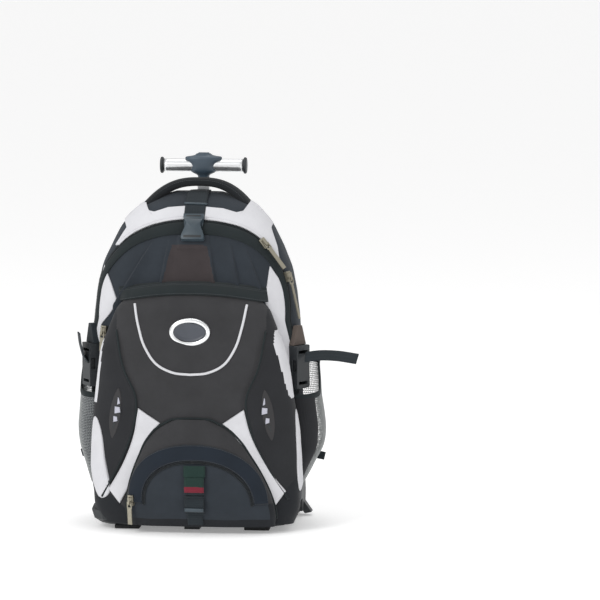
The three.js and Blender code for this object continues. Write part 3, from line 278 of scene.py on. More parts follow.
BODY_ROWS = [  # up, half width, front, back, as shares of the body's sizes
    (0.0, 0.92, 0.88, 0.96),
    (0.03, 0.975, 0.97, 1),
    (0.1, 1, 1, 1),
    (0.4, 1.005, 1, 1),
    (0.62, 0.98, 1, 1),
    (0.704, 0.945, 0.97, 1),
    (0.779, 0.9, 0.91, 1),
    (0.833, 0.835, 0.83, 1),
    (0.876, 0.77, 0.74, 1),
    (0.912, 0.7, 0.6, 0.985),
    (0.94, 0.62, 0.43, 0.97),
    (0.966, 0.52, 0.2, 0.94),
    (0.985, 0.39, -0.06, 0.88),
    (1.0, 0.23, -0.32, 0.78),
]
half_width = BODY_WIDTH / 2
body = make_form(
    [
        (
            BODY_BOTTOM + up * (BODY_TOP - BODY_BOTTOM),
            -half * half_width,
            half * half_width,
            -front * BODY_FRONT,
            back * BODY_BACK,
        )
        for up, half, front, back in BODY_ROWS
    ],
    3,
)


def closed_skin(form, heights, count):
    """A form's whole skin: rings at the heights, closed at both ends by rings that shrink to their middle."""
    angle = even_angles(form, float(np.median(heights)), count)
    rings = around(form, angle[None, :], np.asarray(heights)[:, None])
    for end, edge in ((0, rings[0]), (1, rings[-1])):
        middle = edge.mean(0)
        shrunk = [middle + (edge - middle) * share for share in (0.97, 0.86, 0.66, 0.4, 0.15, 0.0)]
        rings = np.concatenate([rings, shrunk] if end else [shrunk[::-1], rings])
    along = run(rings[len(rings) // 2])
    flat = np.stack(np.broadcast_arrays(along[None, :], rings[..., 2]), -1)
    return rings, flat


ARCH_SPRING, ARCH_HALF, ARCH_RISE, ARCH_SHOULDER = 300, 135, 134, 2.5


def arch_half(z, widen=0.0, raise_=0.0):
    """Half width of the zip's arch at height z in mm: nearly straight legs, a superellipse above them."""
    legs = np.interp(z, [0, 0.15 * ARCH_SPRING, 0.83 * ARCH_SPRING, ARCH_SPRING],
                     [0.9 * half_width, 0.96 * half_width, 0.965 * half_width, ARCH_HALF])
    rise = np.clip((z - ARCH_SPRING) / (ARCH_RISE + raise_), 0, 1)
    crown = (ARCH_HALF + widen) * (1 - rise**ARCH_SHOULDER) ** (1 / ARCH_SHOULDER)
    return np.where(z < ARCH_SPRING, legs + widen, crown)


heights = np.concatenate([np.linspace(12, 300, 90), np.linspace(303, 470, 62), [472, 474, 476, 477.2, 478]]) * MM
rings, flat = closed_skin(body, heights, 220)
faces = quads(rings.shape[0], rings.shape[1], closed=True)
middle = rings.reshape(-1, 3)[faces].mean(1)
in_door = (middle[:, 1] < -0.012) & (np.abs(middle[:, 0]) < arch_half(middle[:, 2] / MM) * MM - 0.0035)
in_door &= middle[:, 2] < (ARCH_SPRING + ARCH_RISE - 4) * MM
tub = mesh_piece("main_tub", rings, faces[~in_door & (middle[:, 2] > 0.0)], flat)
charcoal = cloth_material("woven_charcoal", srgb(48, 54, 61))
thicken(weld(tub), CLOTH_WALL)
place_on(tub, charcoal, "bag", ["rear_shell"], "charcoal")

# Door of the main compartment: the arched front, of the same cloth. Its upper panel is gathered
# into folds, two left and three right of a plain middle, and a small raised patch backs the buckle.
PLEATS = [  # across and up at the narrow top and at the wide foot, fold width and height in mm
    (-0.363, 0.872, -0.622, 0.738, 13, 6.4),
    (-0.227, 0.872, -0.295, 0.745, 10, 6.0),
    (0.149, 0.872, 0.207, 0.755, 10, 6.0),
    (0.349, 0.862, 0.424, 0.755, 12, 6.4),
    (0.5, 0.845, 0.62, 0.745, 10, 4.8),
]


def folds(x, z):
    """Height of the door's folds: a slow rise to each fold's line and a quick fall past it."""
    height = np.zeros(np.broadcast(x, z).shape)
    for across0, up0, across1, up1, wide, proud in PLEATS:
        side = np.sign(across0)
        x0, z0 = across0 * half_width * MM, up0 * BODY_TOP * MM
        x1, z1 = across1 * half_width * MM, up1 * BODY_TOP * MM
        t = np.clip((z0 - z) / (z0 - z1), 0, 1.5)
        away = side * (x - (x0 + t * (x1 - x0))) / (wide * MM)
        rise = np.clip(1 + away * 0.7, 0, 1) ** 2 * (away < 0) + np.clip(1 - away * 4.5, 0, 1) ** 1.5 * (away >= 0)
        height += proud * MM * rise * np.clip(t * 1.8, 0, 1)
    return height


def buckle_patch(x, z):
    """Height of the patch under the buckle: a rounded rectangle that stands 3 mm proud."""
    inside = np.maximum(np.abs(x / 0.0215) ** 6, np.abs((z - 0.4115) / 0.0095) ** 6)
    return 0.003 * np.clip(1.6 - inside, 0, 1)


up, across = np.meshgrid(np.linspace(0.014, 0.4338, 230), np.linspace(-1, 1, 181), indexing="ij")
x = across * (arch_half(up / MM) * MM - 0.0003)
places = lay(body, x, up, folds(x, up) + buckle_patch(x, up))
door = mesh_piece("main_door_panel", places, quads(*up.shape), np.stack([x, up], -1))
thicken(weld(door), CLOTH_WALL)
place_on(door, charcoal, "bag", ["main_door"], "charcoal")
brown_cloth = cloth_material("woven_brown_grey", srgb(57, 57, 59))
patch_brown = cloth_material("woven_patch_brown", srgb(62, 56, 57))
place = centres(door)
trapezoid = np.abs(place[:, 0] + 0.005) < 0.025 + (0.409 - place[:, 2]) * 0.24
paint(door, patch_brown, trapezoid & (place[:, 2] < 0.408) & (place[:, 2] > 0.34))

# Zip of the main compartment: a dark tape round the arch, covered by a flap along its inner
# part, with a coil of moulded teeth that shows along the outer edge.
ZIP_OUTWARD, ZIP_UPWARD, ZIP_END = 4, 11, 150
ZIP_SLACK = 6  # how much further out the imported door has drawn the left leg


def arch_path(widen, raise_, count, end=ZIP_END):
    """The arch's line from its right leg over the crown to its left leg, as count points x, z in metres."""
    leg = np.linspace(end, ARCH_SPRING, 60, endpoint=False)
    angle = np.linspace(0, np.pi, 400)
    crown_x = (ARCH_HALF + widen) * bend(np.cos(angle), ARCH_SHOULDER)
    crown_z = ARCH_SPRING + (ARCH_RISE + raise_) * bend(np.sin(angle), ARCH_SHOULDER)
    x = np.concatenate([arch_half(leg, widen), crown_x, -arch_half(leg, widen)[::-1]])
    z = np.concatenate([leg, crown_z, leg[::-1]])
    slack = ZIP_SLACK * np.clip((430 - z) / 90, 0, 1) * np.clip((z - ZIP_END) / 100, 0, 1)
    x = np.where(x < 0, x - slack, x)
    length = np.concatenate([[0], np.cumsum(np.hypot(np.diff(x), np.diff(z)))])
    at = np.linspace(0, length[-1], count)
    return np.interp(at, length, x) * MM, np.interp(at, length, z) * MM


def ribbon(form, inner, outer, profile):
    """A strip between two lines on a form. profile lists the share across and the height above the cloth."""
    share, height = np.array(profile).T
    (xi, zi), (xo, zo) = inner, outer
    x = xi[:, None] + (xo - xi)[:, None] * share[None, :]
    z = zi[:, None] + (zo - zi)[:, None] * share[None, :]
    place = lay(form, x, z, height[None, :] * MM)
    length = run(place[:, 0])
    width = np.linalg.norm(place[:, -1] - place[:, 0], axis=1).mean()
    flat = np.stack(np.broadcast_arrays(length[:, None], share[None, :] * width), -1)
    return place, flat


COUNT = 420
inner, outer = arch_path(-ZIP_OUTWARD, -ZIP_UPWARD, COUNT), arch_path(ZIP_OUTWARD, ZIP_UPWARD, COUNT)
FLAP_PROFILE = [(0, -0.2), (0.0, 1.9), (0.02, 2.3), (0.3, 2.55), (0.62, 2.5), (0.7, 2.0), (0.71, 0.9), (0.73, 0.6),
                (0.8, 0.5), (0.88, 0.5), (0.93, 0.5), (0.97, 0.5), (1.0, 0.4), (1.0, -0.2)]
places, flat = ribbon(body, inner, outer, FLAP_PROFILE)
strip = mesh_piece("main_zip_tape", places, quads(*places.shape[:2])[:, ::-1], flat)
black_cloth = cloth_material("woven_black", srgb(34, 41, 43), pitch=0.0009)
place_on(weld(strip), black_cloth, "bag", ["main_zipper"], "black")


def along_line(line, spacing):
    """Evenly spaced places on a line of places, with the unit direction at each."""
    length = run(line)
    at = np.arange(spacing / 2, length[-1], spacing)
    place = np.stack([np.interp(at, length, line[:, k]) for k in range(3)], -1)
    ahead = np.stack([np.interp(at + spacing / 4, length, line[:, k]) for k in range(3)], -1)
    back = np.stack([np.interp(at - spacing / 4, length, line[:, k]) for k in range(3)], -1)
    along = ahead - back
    return place, along / (np.linalg.norm(along, axis=1, keepdims=True) + 1e-12)


def repeated(place, along, out, size, taper=0.6):
    """One small block at each place: length along, width across and height out of the cloth, its top tapered."""
    out = out - along * (out * along).sum(-1, keepdims=True)
    out /= np.linalg.norm(out, axis=-1, keepdims=True) + 1e-12
    side = np.cross(along, out)
    length, width, height = size
    foot = [[-1, -1, 0], [1, -1, 0], [1, 1, 0], [-1, 1, 0]]
    corner = np.array(foot + [[x * taper, y * taper, 1] for x, y, _ in foot])
    step = corner[None] * np.array([length / 2, width / 2, height])
    frame_axes = (along, side, out)
    place = place[:, None] + sum(step[..., k : k + 1] * axis[:, None] for k, axis in enumerate(frame_axes))
    face = np.array([[0, 3, 2, 1], [4, 5, 6, 7], [0, 1, 5, 4], [1, 2, 6, 5], [2, 3, 7, 6], [3, 0, 4, 7]])
    faces = (face[None] + 8 * np.arange(len(place))[:, None, None]).reshape(-1, 4)
    return place.reshape(-1, 3), faces


def teeth(name, form, x, z, lift, spacing=0.0021):
    """Two rows of zip teeth that mesh along a line x, z on a form."""
    line = lay(form, x, z, lift)
    place, along = along_line(line, spacing)
    out = outward(form, place)
    side = np.cross(along, out)
    parts, offset = [], 0
    for sign in (-1, 1):
        shifted = place + sign * 0.0011 * side + along * (0.25 * sign * spacing)
        corner, faces = repeated(shifted, along, out, (0.0012, 0.0026, 0.0011))
        parts.append((corner, faces + offset))
        offset += len(corner)
    piece = mesh_piece(name, np.concatenate([p for p, _ in parts]), np.concatenate([f for _, f in parts]))
    piece.data.polygons.foreach_set("use_smooth", np.zeros(len(piece.data.polygons), bool))
    return piece


def plastic_material(name, colour, roughness=0.5, grain=0.25, scale=900.0):
    """Moulded plastic: a fine leathery grain for bump, and slow noise that varies colour and gloss."""
    material, shader, add, link = new_material(name)
    where = add("ShaderNodeTexCoord")
    fine = add("ShaderNodeTexNoise", {"Scale": scale, "Detail": 2.0})
    slow = add("ShaderNodeTexNoise", {"Scale": 35.0, "Detail": 4.0})
    for noise in (fine, slow):
        link(where.outputs["Object"], noise.inputs["Vector"])
    link(shades(add, link, slow, colour, 0.14, 0.75), shader.inputs["Base Color"])
    gloss, height = slow.outputs["Fac"], fine.outputs["Fac"]
    surface(add, link, shader, gloss, roughness - 0.08, roughness + 0.1, height, grain, 0.0002)
    return material


black_plastic = plastic_material("moulded_black", srgb(34, 38, 41))
zip_line = [inner[k] + 0.83 * (outer[k] - inner[k]) for k in (0, 1)]
coil = teeth("main_zip_teeth", body, *zip_line, 0.0006)
place_on(coil, black_plastic, "bag", [], "black")

# Pale panels of the body: a band over the shoulders behind the zip, and a gore at each side of
# the front. They are a lighter woven cloth, laid over the tub and the door and topstitched.
pale_white = srgb(222, 222, 226)
pale_cloth = cloth_material("woven_pale", pale_white, pitch=0.001, variation=0.05, sheen=0.1, roughness=0.8)
SKIN = 1.3 * MM


def smooth_line(points, count, between=through):
    """A line through a few x, z points in mm, as count points in metres. With np.interp between, it has corners."""
    points = np.array(points, float)
    step = np.concatenate([[0], np.cumsum(np.hypot(*np.diff(points, axis=0).T))])
    at = np.linspace(0, step[-1], count)
    return between(at, step, points[:, 0]) * MM, between(at, step, points[:, 1]) * MM


def panel(name, form, first, second, lift, thickness, columns=24, turn=1):
    """A cloth panel between two lines on a form: a thin closed pillow whose edges are turned under over 1.5 mm."""
    (xa, za), (xb, zb) = first, second
    share = np.linspace(0, 1, columns)
    x = xa[:, None] + (xb - xa)[:, None] * share
    z = za[:, None] + (zb - za)[:, None] * share
    width = np.hypot(xb - xa, zb - za)[:, None]
    length = np.concatenate([[0], np.cumsum(np.hypot(np.diff(x.mean(1)), np.diff(z.mean(1))))])[:, None]
    edge = np.minimum(np.minimum(share, 1 - share) * width, np.minimum(length, length[-1] - length))
    crown = np.sqrt(1 - (1 - np.clip(edge / 0.0015, 0, 1)) ** 2)
    top = lay(form, x, z, lift + thickness * crown)
    under = lay(form, x, z, lift + 0 * crown)
    place = np.concatenate([top, under[:, ::-1]], 1)
    flat = np.stack([x, z], -1)
    faces = quads(place.shape[0], place.shape[1], closed=True)[:, ::turn]
    piece = mesh_piece(name, place, faces, np.concatenate([flat, flat[:, ::-1]], 1))
    return weld(piece, 0.00002)


def joined(name, *pieces):
    """Several meshes as one piece."""
    with bpy.context.temp_override(active_object=pieces[0], selected_editable_objects=list(pieces)):
        bpy.ops.object.join()
    pieces[0].name = pieces[0].data.name = name
    return pieces[0]


def stitches(name, form, line, lift, material, slot, spacing=0.0031):
    """A row of stitches along a line x, z on a form: short thread blocks sunk into the cloth."""
    path = lay(form, line[0], line[1], lift)
    place, along = along_line(path, spacing)
    corner, faces = repeated(place, along, outward(form, place), (0.0021, 0.0006, 0.00045))
    row = mesh_piece(name, corner, faces)
    return place_on(row, material, "bag", [], slot)


YOKE_TOP = [(0, 461), (40, 458), (60, 452), (70, 454), (78, 470)]
YOKE_ENDS = {
    "right": (1, [(92, 466), (112, 444), (107, 431), (118, 404), (123, 381)], 381),
    "left": (-1, [(90, 458), (104, 440), (98, 430), (107, 416), (115, 404)], 404),
}
halves = []
for word, (side, end, foot) in YOKE_ENDS.items():
    x, z = arch_path(2.2, 8.0, 800)
    kept = (x * side >= 0) & (z >= foot * MM)
    order = np.argsort(np.abs(x[kept]))
    low = np.stack([np.abs(x[kept][order]), z[kept][order]], -1) / MM
    lines = [smooth_line(line, 90, np.interp) for line in (low, YOKE_TOP + end)]
    if side < 0:
        lines = [(-x, z) for x, z in lines]
    halves.append(panel("yoke_" + word, body, *lines, 0.0003, 2 * SKIN, 20))
    seam = (lines[0][0], lines[0][1] + 0.0035)
    stitches("yoke_stitches_" + word, body, seam, 2 * SKIN + 0.0003, pale_cloth, "pale")
yoke = joined("yoke_band_cloth", *halves)
place_on(yoke, pale_cloth, "bag", ["yoke_band"], "pale")

GORES = {  # x, z in mm along the inner edge, then along the outer one
    "left": (
        [
            (-129.7, 377), (-118, 350), (-108, 325), (-120, 308),
            (-133.5, 292), (-136, 262), (-133, 238), (-139, 186),
        ],
        [
            (-130.5, 377), (-137, 352), (-139.5, 331), (-141, 310),
            (-142, 290), (-143.5, 262), (-145.5, 238), (-140.5, 186),
        ],
    ),
    "right": (
        [(109.5, 378), (106, 352), (102.5, 328), (112, 302), (122.5, 276), (133, 240), (142, 192)],
        [(110.5, 378), (123, 360), (130.8, 340), (132.5, 315), (134.5, 288), (145, 252), (144, 194)],
    ),
}
for word, lines in GORES.items():
    inner_edge, outer_edge = (smooth_line(line, 90, np.interp) for line in lines)
    gore = panel("gore_cloth_" + word, body, inner_edge, outer_edge, 0.0003, SKIN, 16)
    place_on(gore, pale_cloth, "bag", ["gore_" + word], "pale")

# Front compartment: a deep pocket of brown-grey cloth with a gathered hourglass front, whose two
# curved seams stand proud, and its weight makes the foot hang slightly to the right.
POCKET_WIDTH, POCKET_TOP, POCKET_BOTTOM, POCKET_FRONT, POCKET_LEAN = 298, 348, 10, 108, 8
POCKET_ROWS = [  # up, half width, front
    (0.0, 0.93, 0.86),
    (0.05, 0.98, 0.94),
    (0.15, 1, 0.975),
    (0.35, 1, 1),
    (0.54, 0.96, 1.01),
    (0.68, 0.905, 0.99),
    (0.79, 0.845, 0.945),
    (0.865, 0.785, 0.885),
    (0.93, 0.7, 0.81),
    (0.97, 0.575, 0.73),
    (1.0, 0.37, 0.64),
]


def lean(z):
    """How far the pockets hang to the right at height z (mm)."""
    return POCKET_LEAN * np.maximum(0, 1 - z / POCKET_TOP)


def pocket_row(up, half, front, width, bottom, top, depth, back):
    z = bottom + up * (top - bottom)
    return (z, lean(z) - half * width / 2, lean(z) + half * width / 2, -front * depth, back)


pocket = make_form(
    [
        pocket_row(*row, POCKET_WIDTH, POCKET_BOTTOM, POCKET_TOP, POCKET_FRONT, -0.2 * POCKET_FRONT)
        for row in POCKET_ROWS
    ],
    2.8,
)
HOURGLASS = [(0.72, 0.83), (0.65, 0.68), (0.53, 0.55), (0.56, 0.44), (0.7, 0.29), (0.9, 0.14)]


def on_pocket(points, side=1):
    """Points given as shares of the pocket's half width and height, in mm, with its lean."""
    return [(side * across * POCKET_WIDTH / 2 + lean(up * POCKET_TOP), up * POCKET_TOP) for across, up in points]


def seam_relief(place):
    """The hourglass seams: a 1.9 mm rib along each line, with the cloth drawn in beside it."""
    height = np.zeros(place.shape[:-1])
    for side in (-1, 1):
        x, z = smooth_line(on_pocket(HOURGLASS, side), 160)
        order = np.argsort(z)
        at = np.interp(place[..., 2], z[order], x[order])
        away = (place[..., 0] - at) * side
        shown = np.clip((place[..., 2] - z.min()) / 0.02, 0, 1) * np.clip((z.max() - place[..., 2]) / 0.02, 0, 1)
        rib = 0.0019 * np.exp(-(((away - 0.0018) / 0.0018) ** 2))
        rib = rib - 0.0016 * np.exp(-(((away + 0.003) / 0.0035) ** 2))
        puff = 0.0022 * np.exp(-(((away - 0.03) / 0.02) ** 2))
        height += shown * (rib + puff) * (place[..., 1] < -0.05)
    return height


heights = np.concatenate([np.linspace(10, 330, 150), np.linspace(332, 348, 12)]) * MM
rings, flat = closed_skin(pocket, heights, 300)
rings = rings + outward(pocket, np.clip(rings, [-1, -1, 0.0102], [1, 1, 0.3478])) * seam_relief(rings)[..., None]
front_pocket = mesh_piece("front_pocket_cloth", rings, quads(*rings.shape[:2], closed=True), flat)
place_on(weld(front_pocket), brown_cloth, "bag", ["front_pocket"], "brownCharcoal")
side_cloth = cloth_material("woven_side_grey", srgb(42, 43, 46))
base_cloth = cloth_material("coated_base_black", srgb(27, 30, 35), pitch=0.0008, roughness=0.7)
place = centres(front_pocket)
line_x, line_z = smooth_line(on_pocket(HOURGLASS), 160)
order = np.argsort(line_z)
waist = np.interp(place[:, 2], line_z[order], line_x[order]) - lean(place[:, 2] / MM) * MM
away = np.abs(place[:, 0] - lean(place[:, 2] / MM) * MM)
paint(front_pocket, side_cloth, (away > waist) | (place[:, 1] > -0.06))
pale_left = place[:, 0] < np.interp(place[:, 2], [0.185, 0.217, 0.264, 0.29], [-0.134, -0.1305, -0.127, -0.122])
pale_right = place[:, 0] > np.interp(place[:, 2], [0.192, 0.2, 0.245, 0.27], [0.1447, 0.1405, 0.129, 0.12])
pale_left &= (place[:, 2] > 0.185) & (place[:, 2] < 0.275)
pale_right &= (place[:, 2] > 0.192) & (place[:, 2] < 0.29)
paint(front_pocket, pale_cloth, (pale_left | pale_right) & (place[:, 1] < -0.015))
base_top = np.interp(away, [0.08, 0.1, 0.118, 0.15], [0.03, 0.034, 0.05, 0.082])
paint(front_pocket, base_cloth, place[:, 2] < base_top)


def swept(name, line, out, radii, sides=16, square=1.0):
    """A closed bar carried along a line: radii across and out at each place, boxier as square falls."""
    along = np.gradient(line, axis=0)
    along /= np.linalg.norm(along, axis=1, keepdims=True)
    out = out - along * (out * along).sum(1, keepdims=True)
    out /= np.linalg.norm(out, axis=1, keepdims=True)
    side = np.cross(along, out)
    angle = np.linspace(0, 2 * np.pi, sides, endpoint=False)
    wide, high = np.broadcast_to(radii, (len(line), 2)).T
    place = line[:, None] + side[:, None] * (wide[:, None] * bend(np.cos(angle), 2 / square))[..., None]
    place = place + out[:, None] * (high[:, None] * bend(np.sin(angle), 2 / square))[..., None]
    caps = [line[end][None, None] + np.zeros((1, sides, 3)) for end in (0, -1)]
    place = np.concatenate([caps[0], place, caps[1]])
    length = np.concatenate([[0], run(line), [0]])
    flat = np.stack(np.broadcast_arrays(length[:, None], (angle * wide.mean())[None, :]), -1)
    return weld(mesh_piece(name, place, quads(*place.shape[:2], closed=True), flat), 0.00001)


for side, word in ((-1, "left"), (1, "right")):
    line = lay(pocket, *smooth_line(on_pocket(HOURGLASS, side), 120), 0.0008)
    welt = swept("pocket_welt_" + word, line, outward(pocket, line), (0.0016, 0.0017), 10)
    place_on(welt, black_cloth, "bag", [], "black")

# Visor over the compartment's mouth: dark cloth that runs from gore to gore, sewn to the door with
# two rows of stitching, and turned over at the lip that hangs in front of the mouth.
VISOR_HALF, VISOR_HIGH, VISOR_LOW = 107, 357, 339
s, t = np.meshgrid(np.linspace(-1, 1, 161), np.linspace(0, 1, 30), indexing="ij")
top_x, top_z = VISOR_HALF * s * MM, (VISOR_HIGH - 10 * s**2) * MM
lip_x, lip_z = (VISOR_HALF * s + 1) * MM, (VISOR_LOW - 12 * np.abs(s) ** 2.2) * MM
pocket_x = np.clip(lip_x, -0.088, 0.09)
top = lay(body, top_x, top_z, 0.0008)
lip = np.stack([lip_x, lay(pocket, pocket_x, lip_z)[..., 1] - 0.0036, lip_z], -1)
end = np.clip((np.abs(s) - 0.78) / 0.22, 0, 1)[..., None] ** 2
lip = lip * (1 - end) + lay(body, lip_x, lip_z, 0.0022) * end
place = top * (1 - t[..., None]) + lip * t[..., None]
crown = np.sin(np.pi * t) * (1 - np.abs(s) ** 4)
place[..., 1] -= 0.0045 * crown
place[..., 2] += 0.002 * crown
place[..., 1] += 0.002 * np.clip((t - 0.93) / 0.07, 0, 1) ** 2
flat = np.stack([place[..., 0], place[..., 2]], -1)
visor = mesh_piece("visor_cloth", place, quads(*s.shape), flat)
thicken(weld(visor), 2 * MM)
place_on(visor, black_cloth, "bag", ["pocket_hood"], "black")
thread = cloth_material("thread_grey", srgb(82, 86, 90), pitch=0.0004, bump=0.1)
rows = []
for k, column in enumerate((6, 9, 26)):
    path = place[:, column]
    spot, along = along_line(path, 0.0031)
    corner, faces = repeated(spot, along, np.tile([0.0, -0.8, 0.6], (len(spot), 1)), (0.0021, 0.0006, 0.0004))
    rows.append(mesh_piece(f"visor_row_{k}", corner, faces))
place_on(joined("visor_stitches", *rows), thread, "bag", [], "black")

# Pale legs on the front of the compartment, drawn from its waist to its lower corners, and pale
# stripes on its side edges.
LEG_IN = [(0.3, 0.455), (0.43, 0.39), (0.58, 0.25), (0.68, 0.18), (0.78, 0.115)]
LEG_OUT = [(0.51, 0.515), (0.56, 0.42), (0.68, 0.305), (0.78, 0.235), (0.88, 0.175)]
RIB_PROUD = 1.8 * MM
LOWER_TOP, LOWER_SWAY = 164, 12


def sway(z):
    """How far the lower pocket and the left leg hang right at height z (mm), beyond the front pocket's lean."""
    return LOWER_SWAY * np.maximum(0, 1 - z / LOWER_TOP)


def lay_side(form, y, z, side, lift):
    """Places on a flank of a form under the points y, z: x from its superellipse, then out by lift and sag."""
    mx, hx, my, hy = section(form, z)
    across = np.clip(np.abs((y - my) / hy), 0, 0.999)
    x = mx + side * hx * (1 - across ** form["n"]) ** (1 / form["n"])
    place = np.stack(np.broadcast_arrays(x, y, z), -1)
    return place + outward(form, place) * (lift + sag(place) + np.maximum(seam_relief(place), 0))[..., None]


for side, word in ((-1, "left"), (1, "right")):
    edges = [smooth_line(on_pocket(line, side), 90) for line in (LEG_IN, LEG_OUT)]
    if side < 0:
        edges = [(x + sway(z / MM) * MM, z) for x, z in edges]
    leg = panel("leg_cloth_" + word, pocket, *edges, RIB_PROUD * 0.6, SKIN, 24)
    place_on(leg, pale_cloth, "bag", ["leg_panel_" + word], "pale")
    for k, (inset, line) in enumerate(((0.08, edges), (0.92, edges))):
        seam = [line[0][n] * (1 - inset) + line[1][n] * inset for n in (0, 1)]
        seam = [v[3:-3] for v in seam]
        stitches(f"leg_stitches_{word}_{k}", pocket, seam, RIB_PROUD * 0.6 + SKIN, pale_cloth, "pale")
    # a stripe on the flank: height from a rounded foot to its top, depth widest in the middle
    t, w = np.meshgrid(np.linspace(0, 1, 60), np.linspace(-1, 1, 14), indexing="ij")
    z = ((58 if side > 0 else 46) + 118 * t) * MM
    wide = (13 if side > 0 else 9) * np.sqrt(np.clip(1 - (2 * t - 1) ** 4, 0.002, 1)) * MM
    y = (-66 if side > 0 else -84) * MM + wide * w - 0.004 * (1 - t)
    edge = np.minimum(1, (1 - np.abs(w)) * 6) * np.minimum(1, 12 * np.minimum(t, 1 - t))
    face = lay_side(pocket, y, z, side, 0.0002 + SKIN * np.sqrt(edge))
    back = lay_side(pocket, y, z, side, 0.0002 + 0 * edge)
    ring = np.concatenate([face, back[:, ::-1]], 1)
    flat = np.tile(np.stack([y, z], -1), (1, 2, 1))
    stripe = mesh_piece("stripe_cloth_" + word, ring, quads(*ring.shape[:2], closed=True), flat)
    place_on(weld(stripe, 0.00002), pale_cloth, "bag", ["stripe_" + word], "pale")

# Lower pocket: a half-round pocket sewn onto the front, with a brown-grey arch at its top and an
# arched flap that covers its zip.
LOWER_WIDTH, LOWER_BOTTOM, LOWER_FRONT = 214, 10, 128
LOWER_ROWS = [
    (0.0, 0.97, 0.87),
    (0.12, 1.0, 0.95),
    (0.3, 0.96, 0.99),
    (0.5, 0.86, 1.0),
    (0.66, 0.745, 0.985),
    (0.82, 0.61, 0.96),
    (0.93, 0.45, 0.935),
    (1.0, 0.26, 0.905),
]
lower = make_form(
    [
        pocket_row(*row, LOWER_WIDTH, LOWER_BOTTOM, LOWER_TOP, LOWER_FRONT, -0.6 * LOWER_FRONT)
        for row in LOWER_ROWS
    ],
    2.6,
)
lower["rows"][:, 1:3] += sway(lower["rows"][:, :1] / MM) * MM
heights = np.concatenate([np.linspace(10, 158, 90), np.linspace(159, 164, 8)]) * MM
rings, flat = closed_skin(lower, heights, 220)
lower_pocket = mesh_piece("lower_pocket_cloth", rings, quads(*rings.shape[:2], closed=True), flat)
place_on(weld(lower_pocket), charcoal, "bag", ["lower_pocket"], "charcoal")


LOWER_ROUND = 2.2


def lower_arch(half, top, foot, count):
    """An arch on the lower pocket: a superellipse of half width half from foot to top (mm), left to right."""
    angle = np.linspace(np.pi, 0, count)
    z = foot + (top - foot) * bend(np.sin(angle), LOWER_ROUND)
    return (half * bend(np.cos(angle), LOWER_ROUND) + lean(z) + sway(z)) * MM, z * MM


FLAP_IN, FLAP_OUT, FLAP_FOOT = (0.37, 0.65), (0.465, 0.79), (0.27, 0.27)
flap_in = lower_arch(FLAP_IN[0] * LOWER_WIDTH, FLAP_IN[1] * LOWER_TOP, FLAP_FOOT[0] * LOWER_TOP, 200)
flap_out = lower_arch(FLAP_OUT[0] * LOWER_WIDTH, FLAP_OUT[1] * LOWER_TOP, FLAP_FOOT[1] * LOWER_TOP, 200)
flap = panel("lower_flap_cloth", lower, flap_in, flap_out, 0.0003, 2.4 * MM, 24)
navy_cloth = cloth_material("woven_navy_black", srgb(30, 38, 48), pitch=0.0009)
place_on(flap, navy_cloth, "bag", ["rain_flap"], "black")
for k, inset in enumerate((0.06, 0.94)):
    seam = [flap_in[n] * (1 - inset) + flap_out[n] * inset for n in (0, 1)]
    stitches(f"flap_stitches_{k}", lower, [v[3:-3] for v in seam], 2.6 * MM, thread, "black")
zip_under = [flap_in[0] - 0.0016 * np.sign(flap_in[0] - 0.008), flap_in[1] - 0.0018]
lower_teeth = teeth("lower_zip_teeth", lower, *zip_under, 0.0005)
place_on(lower_teeth, black_plastic, "bag", [], "black")
place = centres(lower_pocket)
middle = (lean(place[:, 2] / MM) + sway(place[:, 2] / MM)) * MM
high = (place[:, 2] - FLAP_FOOT[1] * LOWER_TOP * MM) / ((FLAP_OUT[1] - FLAP_FOOT[1]) * LOWER_TOP * MM)
beyond = (np.abs(place[:, 0] - middle) / (FLAP_OUT[0] * LOWER_WIDTH * MM)) ** LOWER_ROUND
beyond += np.clip(high, 0, 9) ** LOWER_ROUND
paint(lower_pocket, brown_cloth, (beyond > 1) & (high > 0))
paint(lower_pocket, base_cloth, (beyond > 1) & (high <= 0) | (place[:, 2] < 0.022))
rise = np.linspace(22, LOWER_TOP - 0.5, 90) * MM
mx, hx, my, hy = section(lower, rise)
top_x = np.linspace(-1, 1, 30)[1:-1] * hx[-1] + mx[-1]
welt_x = np.concatenate([mx - hx, top_x, (mx + hx)[::-1]])
welt_z = np.concatenate([rise, LOWER_TOP * MM + 0.0012 * (1 - ((top_x - mx[-1]) / hx[-1]) ** 2), rise[::-1]])
line = lay(pocket, welt_x, welt_z, 0.0016)
welt = swept("lower_welt", line, outward(pocket, line), (0.0018, 0.0018), 10)
place_on(welt, black_cloth, "bag", [], "black")

# Piping: a pale cord sewn in a loop under the badge.
PIPING = [(0.54, 0.935), (0.5, 0.85), (0.43, 0.76), (0.32, 0.695), (0.16, 0.662), (0, 0.655)]


def both_sides(points, count):
    """A line from the left end over the middle to the right end, from the points of its right half, end first."""
    x, z = smooth_line(points, count // 2)
    left = 2 * lean(z / MM) * MM - x
    return np.concatenate([left, x[::-1][1:]]), np.concatenate([z, z[::-1][1:]])


loop = both_sides(on_pocket(PIPING), 200)
line = lay(pocket, *loop, 0.0009)
piping = swept("piping_cord", line, outward(pocket, line), (0.0018, 0.0018))
place_on(piping, pale_cloth, "bag", ["pocket_piping"], "pale")

# Badge: an oval ring of bright metallised plastic round a plain field, riveted through the cloth.
BADGE_WIDTH, BADGE_HEIGHT, BADGE_RIM, BADGE_UP = 59 * MM, 40 * MM, 6.5 * MM, 288 * MM


